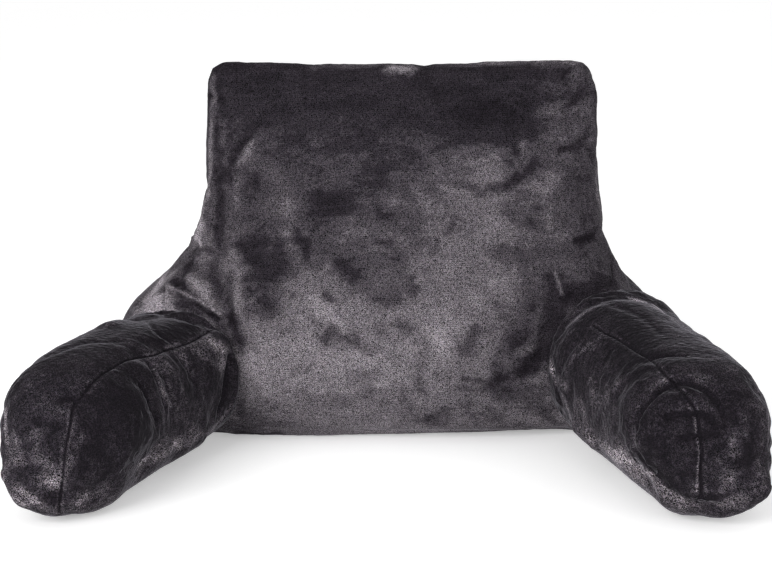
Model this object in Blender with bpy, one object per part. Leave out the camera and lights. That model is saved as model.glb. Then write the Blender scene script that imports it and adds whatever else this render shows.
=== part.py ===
"""Reading pillow with arms: a stuffed backrest, wide at its foot, with two stuffed arms sewn to it.

Metres, +Z up. The pillow stands on the floor at z = 0 and faces -Y, so its left arm, seen from the
front, is at -X. The origin is the middle of the backrest's flat underside. The backrest and each arm
are one filled solid, drawn in along the seams between their cloth panels and along their main folds.
"""

import math
from typing import NamedTuple

import bmesh
import bpy
from mathutils import Vector
from mathutils.geometry import intersect_point_line
from mathutils.kdtree import KDTree

FLOOR_Z = 0.0
SEWN_GAP = 0.0004  # left between the arms and the backrest that they are sewn to
SEAM_DEPTH = 0.0038  # how far the filled cloth is drawn in at a seam
SEAM_REACH = 0.024  # how far from a seam the cloth is drawn in at all
SEAM_SAMPLES = 60  # points along a seam that the drawing in is measured from

PLUSH_COLOUR = (0.046, 0.040, 0.052, 1.0)
PLUSH_ROUGHNESS = 0.95
PLUSH_SHEEN = 0.5

# The backrest is one block of panels: front, back, two sides, top and base. Each edge between two
# panels is a seam, and each panel is cut into a grid of this many cells, closer near its seams.
BACKREST_CELLS_ACROSS = 40
BACKREST_CELLS_UP = 34
BACKREST_CELLS_DEEP = 8
CELL_CLOSENESS = 1.05  # radians of a sine: the more, the closer the cells are near the seams
SIDE_CROWN = 0.017  # how far the side panels swell out past their seams
TOP_CROWN = 0.007
PANEL_CROWN_POWER = 2.6  # the higher, the flatter the middle of the front and back panels
TOP_FALL = 0.020  # the back seam of the top lies this much lower than the front one
TOP_SAG = 0.003  # the top edge dips this much between its two corners
TOP_LEAN = 0.0015  # the top edge's left end is this much higher than its middle
FOOT_TURN = 0.010  # the foot's right end stands this much further back than its middle


class BackrestSection(NamedTuple):
    """One level of the backrest: its height, its reach to each side, and its front and back panels."""

    height: float
    left: float
    right: float
    front_seam: float  # y of the front panel at its side seams
    front_crown: float  # how far the front panel swells forward of its seams
    back_seam: float
    back_crown: float


BACKREST = (
    BackrestSection(0.000, 0.306, 0.285, -0.041, 0.034, 0.069, 0.006),
    BackrestSection(0.018, 0.336, 0.308, -0.059, 0.044, 0.083, 0.014),
    BackrestSection(0.050, 0.350, 0.320, -0.069, 0.050, 0.093, 0.022),
    BackrestSection(0.100, 0.354, 0.320, -0.073, 0.052, 0.096, 0.028),
    BackrestSection(0.145, 0.336, 0.296, -0.070, 0.052, 0.095, 0.030),
    BackrestSection(0.185, 0.293, 0.258, -0.061, 0.050, 0.092, 0.030),
    BackrestSection(0.220, 0.256, 0.239, -0.049, 0.047, 0.088, 0.030),
    BackrestSection(0.255, 0.241, 0.232, -0.037, 0.044, 0.084, 0.030),
    BackrestSection(0.300, 0.233, 0.228, -0.023, 0.039, 0.080, 0.028),
    BackrestSection(0.350, 0.232, 0.226, -0.009, 0.032, 0.076, 0.024),
    BackrestSection(0.400, 0.230, 0.225, 0.004, 0.022, 0.072, 0.018),
    BackrestSection(0.436, 0.229, 0.223, 0.013, 0.012, 0.068, 0.010),
    BackrestSection(0.454, 0.228, 0.222, 0.019, 0.004, 0.063, 0.003),
)


class ArmSection(NamedTuple):
    """One upright cut across an arm: its middle, its half sizes, and where the top seam crosses it."""

    x: float
    y: float
    z: float
    half_width: float
    half_height: float
    seam_turn: float  # degrees from the very top, towards -X where negative


ARM_SIDES = 40
ARM_RINGS = 45
ARM_ROUNDNESS = 2.45  # 2 is an oval cut, and more is squarer
ARM_FOOT_ROUNDNESS = 1.95  # the same for the quarter that curls under on the inner side
ARM_CELL_CLOSENESS = 0.4  # how much closer an arm's points are near its two seams
LEFT_ARM = (
    ArmSection(-0.266, -0.017, 0.080, 0.082, 0.076, 38),
    ArmSection(-0.272, -0.067, 0.082, 0.087, 0.082, 37),
    ArmSection(-0.285, -0.132, 0.085, 0.087, 0.085, 37),
    ArmSection(-0.305, -0.202, 0.086, 0.084, 0.088, 36),
    ArmSection(-0.323, -0.267, 0.086, 0.082, 0.089, 34),
    ArmSection(-0.335, -0.320, 0.086, 0.082, 0.089, 31),
    ArmSection(-0.341, -0.369, 0.085, 0.080, 0.086, 28),
    ArmSection(-0.342, -0.402, 0.084, 0.071, 0.078, 25),
    ArmSection(-0.340, -0.420, 0.083, 0.053, 0.065, 22),
    ArmSection(-0.338, -0.430, 0.082, 0.033, 0.050, 18),
    ArmSection(-0.338, -0.434, 0.082, 0.012, 0.030, 12),
)
RIGHT_ARM = (
    ArmSection(0.258, -0.017, 0.090, 0.084, 0.084, -38),
    ArmSection(0.264, -0.067, 0.092, 0.090, 0.092, -38),
    ArmSection(0.277, -0.132, 0.091, 0.089, 0.092, -37),
    ArmSection(0.298, -0.202, 0.088, 0.085, 0.090, -36),
    ArmSection(0.319, -0.267, 0.086, 0.083, 0.088, -34),
    ArmSection(0.333, -0.320, 0.086, 0.082, 0.088, -31),
    ArmSection(0.342, -0.369, 0.086, 0.079, 0.086, -27),
    ArmSection(0.344, -0.402, 0.085, 0.070, 0.077, -22),
    ArmSection(0.344, -0.420, 0.084, 0.053, 0.064, -16),
    ArmSection(0.344, -0.430, 0.082, 0.033, 0.050, -12),
    ArmSection(0.344, -0.434, 0.082, 0.012, 0.030, -8),
)


class Fold(NamedTuple):
    """A soft crease in one solid's surface, or a ridge where its depth is negative, along a route."""

    node: str
    depth: float
    width: float  # the crease fades to a third of its depth this far from its route
    route: tuple  # points (x, y, z) on the surface or close to it


FOLDS = (
    # The left shoulder: the raised seam down to the arm, and the folds fanned out above it.
    Fold("backrest", -0.004, 0.013, ((-0.294, -0.062, 0.184), (-0.255, -0.078, 0.176), (-0.216, -0.100, 0.158))),
    Fold("backrest", 0.006, 0.011, ((-0.262, -0.040, 0.230), (-0.240, -0.068, 0.204), (-0.226, -0.088, 0.180))),
    Fold("backrest", 0.005, 0.012, ((-0.245, -0.044, 0.239), (-0.224, -0.066, 0.220), (-0.208, -0.088, 0.190))),
    Fold("backrest", -0.004, 0.011, ((-0.217, -0.066, 0.220), (-0.208, -0.081, 0.201), (-0.197, -0.100, 0.170))),
    # The right shoulder and the slack cloth near the right-hand side seam.
    Fold("backrest", 0.006, 0.014, ((0.181, -0.097, 0.175), (0.196, -0.088, 0.192), (0.222, -0.066, 0.206))),
    Fold("backrest", 0.004, 0.013, ((0.135, -0.047, 0.312), (0.158, -0.038, 0.328), (0.184, -0.030, 0.338))),
    Fold("backrest", 0.004, 0.012, ((0.200, -0.016, 0.350), (0.228, -0.008, 0.362))),
    Fold("backrest", 0.004, 0.012, ((0.200, -0.001, 0.400), (0.226, 0.008, 0.424))),
    # Tucks that run down from the seam along the top.
    Fold("backrest", 0.004, 0.010, ((-0.195, 0.020, 0.456), (-0.193, 0.011, 0.436))),
    Fold("backrest", 0.004, 0.011, ((-0.112, 0.016, 0.454), (-0.116, 0.004, 0.430))),
    Fold("backrest", 0.004, 0.011, ((0.032, 0.014, 0.452), (0.044, 0.002, 0.428))),
    Fold("backrest", 0.005, 0.010, ((0.206, 0.020, 0.454), (0.212, 0.010, 0.430))),
    # The left arm: ripples across its inner side, and the crease where it leaves the backrest.
    Fold("arm_left", 0.005, 0.011, ((-0.248, -0.237, 0.150), (-0.234, -0.236, 0.130), (-0.224, -0.230, 0.108))),
    Fold("arm_left", 0.005, 0.011, ((-0.264, -0.284, 0.153), (-0.246, -0.290, 0.126), (-0.238, -0.286, 0.090))),
    Fold("arm_left", 0.005, 0.011, ((-0.272, -0.339, 0.146), (-0.260, -0.337, 0.122), (-0.254, -0.333, 0.098))),
    Fold("arm_left", 0.006, 0.012, ((-0.200, -0.145, 0.118), (-0.201, -0.165, 0.094), (-0.206, -0.181, 0.066))),
    Fold("arm_left", 0.004, 0.010, ((-0.322, -0.418, 0.145), (-0.334, -0.419, 0.147), (-0.350, -0.418, 0.142))),
    # The right arm: folds arched over its tip, the long crease above them, and one across the tip.
    Fold("arm_right", 0.006, 0.010, ((0.272, -0.384, 0.108), (0.283, -0.391, 0.136), (0.306, -0.393, 0.156))),
    Fold("arm_right", 0.006, 0.010, ((0.306, -0.393, 0.156), (0.340, -0.402, 0.160), (0.364, -0.420, 0.130))),
    Fold("arm_right", 0.005, 0.009, ((0.305, -0.419, 0.128), (0.332, -0.424, 0.137), (0.356, -0.426, 0.122))),
    Fold("arm_right", 0.004, 0.010, ((0.296, -0.321, 0.167), (0.328, -0.333, 0.172))),
    Fold("arm_right", 0.004, 0.009, ((0.314, -0.430, 0.106), (0.334, -0.434, 0.112), (0.358, -0.430, 0.108))),
    Fold("arm_right", 0.005, 0.011, ((0.262, -0.330, 0.126), (0.264, -0.352, 0.080), (0.280, -0.384, 0.030))),
)


def smooth_row(rows, position):
    """Row values at a position from 0 to 1 along a table, on a smooth curve through its rows."""
    along = position * (len(rows) - 1)
    start = min(int(along), len(rows) - 2)
    share = along - start
    before, first, second, after = (
        rows[min(max(start + step, 0), len(rows) - 1)] for step in (-1, 0, 1, 2)
    )
    values = []
    for a, b, c, d in zip(before, first, second, after):
        curve = (c - a) * share
        curve += (2 * a - 5 * b + 4 * c - d) * share**2
        curve += (3 * b - a - 3 * c + d) * share**3
        values.append(b + curve / 2)
    return type(rows[0])(*values)


def panel_swell(across):
    """From 0 at a panel's seams to 1 at its middle, for a place across it from -1 to 1."""
    return 1 - abs(across) ** PANEL_CROWN_POWER


def closer_to_seams(place):
    """A place from -1 to 1, moved so that even steps become shorter towards both ends."""
    return math.sin(place * CELL_CLOSENESS) / math.sin(CELL_CLOSENESS)


def backrest_point(across, deep, up):
    """The backrest's surface at a place on a block, each of whose three directions runs from -1 to 1."""
    height_share = (up + 1) / 2
    section = smooth_row(BACKREST, height_share)
    swell = panel_swell(across)
    front = section.front_seam - section.front_crown * swell
    back = section.back_seam + section.back_crown * swell
    reach = section.left if across < 0 else section.right
    gusset_swell = 1 - deep * deep
    x = across * (reach + SIDE_CROWN * gusset_swell * (1 - max(up, 0) ** 12))
    y = (front + back) / 2 + deep * (back - front) / 2
    y += FOOT_TURN * across * (1 - height_share) ** 6
    z = section.height
    z += TOP_CROWN * gusset_swell * max(up, 0) ** 8
    z -= TOP_FALL * height_share**3 * (deep + 1) / 2
    z -= TOP_SAG * height_share**4 * (1 - across * across)
    z -= TOP_LEAN * height_share**4 * across
    return Vector((x, y, max(z, FLOOR_Z)))


def backrest_mesh():
    """The backrest's block of panels, as a mesh, and points along its seams."""
    mesh = bmesh.new()
    bmesh.ops.create_cube(mesh, size=2)
    cells_along = ((0, BACKREST_CELLS_ACROSS), (1, BACKREST_CELLS_DEEP), (2, BACKREST_CELLS_UP))
    for axis, cells in cells_along:
        edges = [e for e in mesh.edges if abs(e.verts[0].co[axis] - e.verts[1].co[axis]) > 1]
        bmesh.ops.subdivide_edges(mesh, edges=edges, cuts=cells - 1, use_grid_fill=True)
    for vert in mesh.verts:
        vert.co = backrest_point(*(closer_to_seams(place) for place in vert.co))
    seams = []
    for step in range(SEAM_SAMPLES + 1):
        place = 2 * step / SEAM_SAMPLES - 1
        for one in (-1, 1):
            seams += [backrest_point(place, one, 1), backrest_point(one, place, 1)]
            seams += [backrest_point(one, -1, place), backrest_point(one, 1, place)]
    return mesh, seams


def arm_angle(step, seam_turn):
    """The angle of one step round an arm from its top seam, where the seam under it is at 180 degrees."""
    turn = math.radians(seam_turn)
    even = 2 * math.pi * step / ARM_SIDES
    even -= ARM_CELL_CLOSENESS * math.sin(2 * even) / 2
    if even <= math.pi:
        return turn + even * (math.pi - turn) / math.pi
    return math.pi + (even - math.pi) * (math.pi + turn) / math.pi


def arm_ring(section, heading):
    """The points of one cut across an arm, square to its heading, from the top seam round."""
    side = Vector((-heading.y, heading.x, 0)).normalized()
    points = []
    for step in range(ARM_SIDES):
        angle = arm_angle(step, section.seam_turn)
        sine, cosine = math.sin(angle), math.cos(angle)
        curls_under = cosine < 0 and sine * section.seam_turn > 0
        roundness = ARM_FOOT_ROUNDNESS if curls_under else ARM_ROUNDNESS
        across = math.copysign(abs(sine) ** (2 / roundness), sine)
        up = math.copysign(abs(cosine) ** (2 / roundness), cosine)
        point = Vector((section.x, section.y, section.z)) + side * section.half_width * across
        point.z = max(point.z + section.half_height * up, FLOOR_Z)
        points.append(point)
    return points


def arm_mesh(sections):
    """An arm, as rings of points from its root to its tip, closed at both ends, and its seam's points."""
    mesh = bmesh.new()
    middles = [Vector(smooth_row(sections, i / ARM_RINGS)[:3]) for i in range(ARM_RINGS + 1)]
    rings = []
    for i in range(ARM_RINGS + 1):
        heading = middles[min(i + 1, ARM_RINGS)] - middles[max(i - 1, 0)]
        section = smooth_row(sections, i / ARM_RINGS)
        rings.append([mesh.verts.new(p) for p in arm_ring(section, heading)])
    for ring, following in zip(rings, rings[1:]):
        for step in range(ARM_SIDES):
            after = (step + 1) % ARM_SIDES
            mesh.faces.new((ring[step], ring[after], following[after], following[step]))
    for ring, middle in ((rings[0], middles[0]), (rings[-1], middles[-1])):
        centre = mesh.verts.new(middle)
        for step in range(ARM_SIDES):
            mesh.faces.new((ring[step], ring[(step + 1) % ARM_SIDES], centre))
    bmesh.ops.recalc_face_normals(mesh, faces=mesh.faces)
    seam = [ring[step].co.copy() for ring in rings for step in (0, ARM_SIDES // 2)]
    return mesh, seam + [middles[-1]]


def distance_to_route(point, route):
    """How far a point is from a route of straight stretches."""
    distances = []
    for start, end in zip(route, route[1:]):
        nearest, share = intersect_point_line(point, start, end)
        ends = (Vector(start), Vector(end))
        held = ends[0] if share < 0 else ends[1] if share > 1 else nearest
        distances.append((point - held).length)
    return min(distances)


def draw_in(mesh, seam_points, folds):
    """Draws a filled mesh in along its seams and folds, square to its surface, but not off the floor."""
    tree = KDTree(len(seam_points))
    for index, point in enumerate(seam_points):
        tree.insert(point, index)
    tree.balance()
    mesh.normal_update()
    moved = []
    for vert in mesh.verts:
        near_seam = max(0.0, 1 - tree.find(vert.co)[2] / SEAM_REACH)
        depth = SEAM_DEPTH * near_seam**2
        for fold in folds:
            depth += fold.depth * math.exp(-((distance_to_route(vert.co, fold.route) / fold.width) ** 2))
        moved.append(vert.co - vert.normal * depth)
    for vert, place in zip(mesh.verts, moved):
        on_floor = vert.co.z <= FLOOR_Z
        vert.co = place
        vert.co.z = FLOOR_Z if on_floor else max(place.z, FLOOR_Z)


def plush():
    """The plush cloth's material."""
    material = bpy.data.materials.new("plush")
    material.use_nodes = True
    shader = material.node_tree.nodes["Principled BSDF"]
    shader.inputs["Base Color"].default_value = PLUSH_COLOUR
    shader.inputs["Roughness"].default_value = PLUSH_ROUGHNESS
    shader.inputs["Sheen Weight"].default_value = PLUSH_SHEEN
    return material


def add_filled(name, mesh, seam_points, material):
    """A named object from a filled mesh, drawn in along its seams and folds and shaded smooth."""
    draw_in(mesh, seam_points, [fold for fold in FOLDS if fold.node == name])
    data = bpy.data.meshes.new(name)
    mesh.to_mesh(data)
    mesh.free()
    data.materials.append(material)
    data.shade_smooth()
    obj = bpy.data.objects.new(name, data)
    bpy.context.scene.collection.objects.link(obj)
    return obj


def cut_clear_of(obj, neighbour):
    """Cuts an object back from its neighbour, with the sewn gap between them."""
    cutter = neighbour.copy()
    cutter.name = f"{obj.name}_cutter"
    cutter.hide_render = True
    cutter.display_type = "WIRE"
    bpy.context.scene.collection.objects.link(cutter)
    swell = cutter.modifiers.new("gap", "DISPLACE")
    swell.strength = SEWN_GAP
    swell.mid_level = 0
    cut = obj.modifiers.new("root", "BOOLEAN")
    cut.operation = "DIFFERENCE"
    cut.object = cutter


def main():
    """Builds the backrest and the two arms that are sewn to it."""
    for obj in list(bpy.data.objects):
        bpy.data.objects.remove(obj)
    material = plush()
    backrest = add_filled("backrest", *backrest_mesh(), material)
    for name, sections in (("arm_left", LEFT_ARM), ("arm_right", RIGHT_ARM)):
        cut_clear_of(add_filled(name, *arm_mesh(sections), material), backrest)


main()
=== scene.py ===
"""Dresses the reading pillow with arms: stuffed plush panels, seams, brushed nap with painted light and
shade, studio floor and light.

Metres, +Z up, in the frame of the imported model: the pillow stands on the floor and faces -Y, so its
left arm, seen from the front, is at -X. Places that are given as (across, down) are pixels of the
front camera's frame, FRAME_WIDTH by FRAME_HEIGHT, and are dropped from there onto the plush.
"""

import logging
import math
from dataclasses import dataclass, field
from enum import Enum
from typing import Any, ClassVar, Optional, Sequence

import bmesh
import bpy
import numpy as np
from mathutils import Matrix, Vector, noise
from mathutils.bvhtree import BVHTree


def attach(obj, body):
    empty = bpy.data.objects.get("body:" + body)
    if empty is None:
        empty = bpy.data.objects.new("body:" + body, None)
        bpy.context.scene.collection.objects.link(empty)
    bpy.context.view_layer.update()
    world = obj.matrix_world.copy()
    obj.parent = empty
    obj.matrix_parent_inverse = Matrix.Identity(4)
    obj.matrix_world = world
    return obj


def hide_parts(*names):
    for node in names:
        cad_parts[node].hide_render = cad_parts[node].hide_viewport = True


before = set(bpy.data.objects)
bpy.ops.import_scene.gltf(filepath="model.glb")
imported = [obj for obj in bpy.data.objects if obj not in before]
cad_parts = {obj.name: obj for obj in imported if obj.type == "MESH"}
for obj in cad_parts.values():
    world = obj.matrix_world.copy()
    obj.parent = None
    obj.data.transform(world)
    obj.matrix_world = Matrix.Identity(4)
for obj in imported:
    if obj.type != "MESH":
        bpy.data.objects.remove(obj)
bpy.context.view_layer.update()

LOG = logging.getLogger("reading_pillow")
BODY = "root"
FRAME_WIDTH = 772
FRAME_HEIGHT = 579

Pixel = tuple[float, float]
Colour = tuple[float, float, float]


# ---------------------------------------------------------------------------------------------
# Camera
# ---------------------------------------------------------------------------------------------


@dataclass(frozen=True)
class FrontCamera:
    """The camera that faces the pillow from a little above.

    Attributes:
        target: The point that it looks at.
        distance: How far it stands from the target.
        elevation: Its height over the horizon, in degrees.
        azimuth: How far it stands round to the pillow's +X side, in degrees.
        roll: How far it leans, in degrees.
        focal_px: Its focal length, in pixels of its frame.
        sensor: The width of its sensor, in millimetres.
    """

    target: Colour = (-0.013, -0.107, 0.1945)
    distance: float = 2.4
    elevation: float = 13.0
    azimuth: float = 4.7
    roll: float = -1.2
    focal_px: float = 1990.0
    sensor: float = 36.0

    def axes(self) -> tuple[Vector, Vector, Vector]:
        """Its right, up and backward directions."""
        rise, round_to = math.radians(self.elevation), math.radians(self.azimuth)
        level = math.cos(rise)
        back = Vector((math.sin(round_to) * level, -math.cos(round_to) * level, math.sin(rise)))
        right = Vector((0, 0, 1)).cross(back).normalized()
        up = back.cross(right)
        lean = math.radians(self.roll)
        return (
            right * math.cos(lean) + up * math.sin(lean),
            up * math.cos(lean) - right * math.sin(lean),
            back,
        )

    def place(self) -> Vector:
        """Where it stands."""
        return Vector(self.target) + self.axes()[2] * self.distance

    def ray(self, spot: Pixel) -> Vector:
        """The direction in which it sees a pixel of its frame."""
        right, up, back = self.axes()
        across = (spot[0] - FRAME_WIDTH / 2) / self.focal_px
        down = (spot[1] - FRAME_HEIGHT / 2) / self.focal_px
        return (right * across - up * down - back).normalized()

    def build(self) -> bpy.types.Object:
        """Adds the camera and makes it the scene's own.

        Returns:
            The camera object.
        """
        data = bpy.data.cameras.new("front_camera")
        data.sensor_width = self.sensor
        data.lens = self.focal_px * self.sensor / FRAME_WIDTH
        data.clip_end = 100
        camera = bpy.data.objects.new("front_camera", data)
        turned = Matrix(self.axes()).transposed().to_4x4()
        camera.matrix_world = Matrix.Translation(self.place()) @ turned
        bpy.context.scene.collection.objects.link(camera)
        bpy.context.scene.camera = camera
        return camera


# ---------------------------------------------------------------------------------------------
# Shader graph
# ---------------------------------------------------------------------------------------------


class Value:
    """A number in a node tree that adds Math nodes as it is worked with."""

    def __init__(self, graph: "Graph", socket: bpy.types.NodeSocket) -> None:
        """Wraps an output socket of the graph."""
        self.graph = graph
        self.socket = socket

    def _math(self, operation: str, first: Any, second: Any) -> "Value":
        """Adds a Math node on two values or numbers."""
        node = self.graph.add("ShaderNodeMath", {"operation": operation}, {0: first, 1: second})
        return Value(self.graph, node.outputs[0])

    def __add__(self, other: Any) -> "Value":
        """This plus another."""
        return self._math("ADD", self, other)

    def __sub__(self, other: Any) -> "Value":
        """This less another."""
        return self._math("SUBTRACT", self, other)

    def __rsub__(self, other: Any) -> "Value":
        """Another less this."""
        return self._math("SUBTRACT", other, self)

    def __mul__(self, other: Any) -> "Value":
        """This times another."""
        return self._math("MULTIPLY", self, other)

    def smooth(self, low: float, high: float) -> "Value":
        """From 0 at low to 1 at high, on a soft curve."""
        settings = {"interpolation_type": "SMOOTHSTEP"}
        links = {"Value": self, "From Min": low, "From Max": high}
        node = self.graph.add("ShaderNodeMapRange", settings, links)
        return Value(self.graph, node.outputs["Result"])


class Graph:
    """The node tree of one material."""

    def __init__(self, name: str) -> None:
        """Makes a material of this name with its Principled shader alone."""
        self.material = bpy.data.materials.new(name)
        self.material.use_nodes = True
        self.tree = self.material.node_tree
        self.shader = self.tree.nodes["Principled BSDF"]

    def put(self, node: bpy.types.Node, values: dict[Any, Any]) -> None:
        """Sets or links a node's inputs.

        Args:
            node: The node.
            values: The value or link for each input, by its name or number.
        """
        for key, value in values.items():
            held = getattr(value, "socket", value)
            if isinstance(held, bpy.types.NodeSocket):
                self.tree.links.new(held, node.inputs[key])
            else:
                node.inputs[key].default_value = held

    def add(self, kind: str, settings: dict[str, Any], values: dict[Any, Any]) -> bpy.types.Node:
        """Adds a node, sets it up, and then fills its inputs.

        Args:
            kind: The node's type.
            settings: Its own settings, set first.
            values: The value or link for each input, by its name or number.

        Returns:
            The node.
        """
        node = self.tree.nodes.new(kind)
        for key, value in settings.items():
            setattr(node, key, value)
        self.put(node, values)
        return node

    def noise(
        self, where: Any, scale: float, detail: float, roughness: float, swirl: float = 0.0
    ) -> Value:
        """Soft noise from 0 to 1 at a place.

        Args:
            where: The place's vector socket.
            scale: Features a metre.
            detail: Octaves above the first.
            roughness: The share of each octave in the next.
            swirl: How far it is pulled out of shape.

        Returns:
            The noise.
        """
        values = {"Vector": where, "Scale": scale, "Detail": detail, "Roughness": roughness}
        values["Distortion"] = swirl
        node = self.add("ShaderNodeTexNoise", {"noise_dimensions": "3D"}, values)
        return Value(self, node.outputs[0])

    def attribute(self, name: str) -> Value:
        """A number that the mesh carries."""
        settings = {"attribute_type": "GEOMETRY", "attribute_name": name}
        return Value(self, self.add("ShaderNodeAttribute", settings, {}).outputs["Fac"])


class Rows(Enum):
    """How the knitted rows under the pile run on a piece."""

    LEVEL = "Z"
    ROUND = "Y"


@dataclass(frozen=True)
class PlushFinish:
    """Short brushed pile, coloured by the tone on its mesh: the nap's sheen painted as colour, dark where
    it leans to the eye and pale where it lies away, with painted light and shade.

    Attributes:
        name: The material's name.
        rows: How its knitted rows run.
        turn: The piece's own heading about Z, in degrees, that rows and brush strokes keep to.
        stretch: How much longer than wide a brush stroke is, along each direction.
        shade: The colours that the tone runs through, with their places from 0 to 1.
        grain: Single tufts a metre.
        clump: Tufts that hang together, a metre.
        streak: Brush strokes a metre, across them.
        flame: Ragged patches where the pile has tipped over, a metre.
        row_pitch: The spacing of the knitted rows, in metres.
        lay: How closely tufts stand along each direction, 1 where nothing changes it.
        level: How pale the plush is as a whole.
        rib: How much the knitted rows show.
        sparkle: How much single tufts differ.
        calm: How much less they differ where the tone is dark.
        tips: The share of the tufts that are pale.
        mottle: How much clumps and strokes differ.
    """

    name: str
    rows: Rows = Rows.LEVEL
    turn: float = 0.0
    stretch: Colour = (2.6, 1.0, 1.2)
    shade: tuple[tuple[float, Colour], ...] = (
        (0.00, (0.0078, 0.0065, 0.0088)),
        (0.20, (0.0172, 0.0149, 0.0189)),
        (0.29, (0.0210, 0.0185, 0.0229)),
        (0.36, (0.0345, 0.0313, 0.0372)),
        (0.50, (0.0450, 0.0412, 0.0480)),
        (0.59, (0.0565, 0.0520, 0.0598)),
        (0.66, (0.0810, 0.0753, 0.0846)),
        (0.82, (0.0985, 0.0918, 0.1024)),
        (1.00, (0.1520, 0.1430, 0.1570)),
    )
    grain: float = 2200.0
    clump: float = 190.0
    streak: float = 60.0
    flame: float = 42.0
    row_pitch: float = 0.0024
    lay: Colour = (1.0, 1.0, 1.0)
    level: float = 0.75
    rib: float = 0.45
    sparkle: float = 2.6
    calm: float = 0.0
    tips: float = 0.5
    mottle: float = 0.17
    sheen: float = 0.28
    sheen_roughness: float = 0.15
    sheen_tint: Colour = (0.80, 0.77, 0.86)

    def material(self) -> bpy.types.Material:
        """The finish as a material.

        Returns:
            The material.
        """
        graph = Graph(self.name)
        places = graph.add("ShaderNodeTexCoord", {}, {}).outputs["Object"]
        turned = graph.add(
            "ShaderNodeMapping",
            {"vector_type": "POINT"},
            {"Vector": places, "Rotation": (0, 0, math.radians(-self.turn))},
        ).outputs[0]
        drawn = graph.add(
            "ShaderNodeMapping",
            {"vector_type": "POINT"},
            {"Vector": turned, "Scale": tuple(1 / part for part in self.stretch)},
        ).outputs[0]
        laid = graph.add(
            "ShaderNodeMapping",
            {"vector_type": "POINT"},
            {"Vector": turned, "Scale": self.lay},
        ).outputs[0]
        cells = graph.add(
            "ShaderNodeTexVoronoi",
            {"feature": "F1", "distance": "EUCLIDEAN"},
            {"Vector": laid, "Scale": self.grain},
        )
        parts = graph.add("ShaderNodeSeparateColor", {}, {"Color": cells.outputs["Color"]})
        lean = Value(graph, parts.outputs["Red"])
        clump = graph.noise(places, self.clump, 0.0, 0.6)
        streak = graph.noise(drawn, self.streak, 3.0, 0.6)
        flame = graph.noise(drawn, self.flame, 4.0, 0.62, 0.6).smooth(0.44, 0.56)
        rows = graph.add(
            "ShaderNodeTexWave",
            {"wave_type": "BANDS", "bands_direction": self.rows.value, "wave_profile": "SIN"},
            {
                "Vector": turned,
                "Scale": math.pi / 10 / self.row_pitch,
                "Distortion": 1.2,
                "Detail": 1.0,
                "Detail Scale": 2.0,
            },
        )
        row = Value(graph, rows.outputs["Fac"])
        # The tone: the nap's painted sheen, with painted shade in creases and seams, and painted light
        # and shade from the strokes.
        tone = graph.attribute("nap_and_painted_light")
        middle = (tone * (1.0 - tone)).smooth(-0.10, 0.26)
        tone = tone + (flame - 0.5) * middle * 0.14
        tone = tone + (streak - 0.5) * 1.2 * self.mottle + (clump - 0.5) * self.mottle
        ramp = graph.add("ShaderNodeValToRGB", {}, {"Fac": tone})
        stops = ramp.color_ramp.elements
        while len(stops) < len(self.shade):
            stops.new(0.5)
        for stop, (at, colour) in zip(stops, self.shade):
            stop.position = at
            stop.color = (*colour, 1)
        tip = lean.smooth(0.85 - self.tips, 1.15 - self.tips) - self.tips
        contrast = (tone - 0.62) * self.calm + 1.0
        speck = tip * contrast * self.sparkle + (row - 0.5) * self.rib + self.level
        # Tones over 1, where painted light is stacked on the palest nap, come out paler still.
        speck = speck * (tone.smooth(1.0, 1.5) * 0.6 + 1.0)
        hue = graph.add(
            "ShaderNodeVectorMath",
            {"operation": "MULTIPLY_ADD"},
            {0: cells.outputs["Color"], 1: (0.16, 0.16, 0.16), 2: (0.92, 0.92, 0.92)},
        )
        tinted = graph.add(
            "ShaderNodeVectorMath",
            {"operation": "MULTIPLY"},
            {0: ramp.outputs["Color"], 1: hue.outputs[0]},
        )
        speckled = graph.add(
            "ShaderNodeVectorMath",
            {"operation": "SCALE"},
            {0: tinted.outputs[0], "Scale": speck},
        )
        height = clump * 0.5 + streak * 0.15 + row * 0.10
        bump = graph.add(
            "ShaderNodeBump", {}, {"Strength": 0.7, "Distance": 0.0022, "Height": height}
        )
        graph.put(
            graph.shader,
            {
                "Base Color": speckled.outputs[0],
                "Roughness": 0.96,
                "Specular IOR Level": 0.10,
                "Sheen Weight": self.sheen,
                "Sheen Roughness": self.sheen_roughness,
                "Sheen Tint": (*self.sheen_tint, 1),
                "Normal": bump.outputs[0],
            },
        )
        return graph.material


@dataclass(frozen=True)
class FloorFinish:
    """Matt pale floor, lit through from below a little."""

    colour: Colour = (0.90, 0.90, 0.90)
    roughness: float = 0.9
    glow: float = 0.35

    def material(self) -> bpy.types.Material:
        """The finish as a material."""
        graph = Graph("studio_floor")
        graph.put(
            graph.shader,
            {
                "Base Color": (*self.colour, 1),
                "Roughness": self.roughness,
                "Emission Color": (1, 1, 1, 1),
                "Emission Strength": self.glow,
            },
        )
        return graph.material


# ---------------------------------------------------------------------------------------------
# Padded pieces
# ---------------------------------------------------------------------------------------------


@dataclass(frozen=True)
class Crease:
    """A soft trough in the cloth, or a ridge where its depth is negative.

    Attributes:
        depth: How deep it is at its line, in millimetres.
        width: How far from its line it fades to a third, in millimetres.
        route: Its line, in pixels of the front camera's frame.
        shade: How much painted shade darkens its tone; where negative, how much a painted highlight
            brightens it.
        sharp: Whether it comes to an edge at its line, as a pinched fold does.
    """

    depth: float
    width: float
    route: tuple[Pixel, ...]
    shade: float = 0.0
    sharp: bool = False


@dataclass(frozen=True)
class Stroke:
    """A place where the tone is painted paler, or darker where its tone is negative: the nap's patches,
    and also painted light and shade such as rim sheen, shadows and bounce light.

    Attributes:
        tone: How much paler.
        width: How far from its line it reaches, in millimetres.
        route: Its line, in pixels of the front camera's frame.
    """

    tone: float
    width: float
    route: tuple[Pixel, ...]


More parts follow.
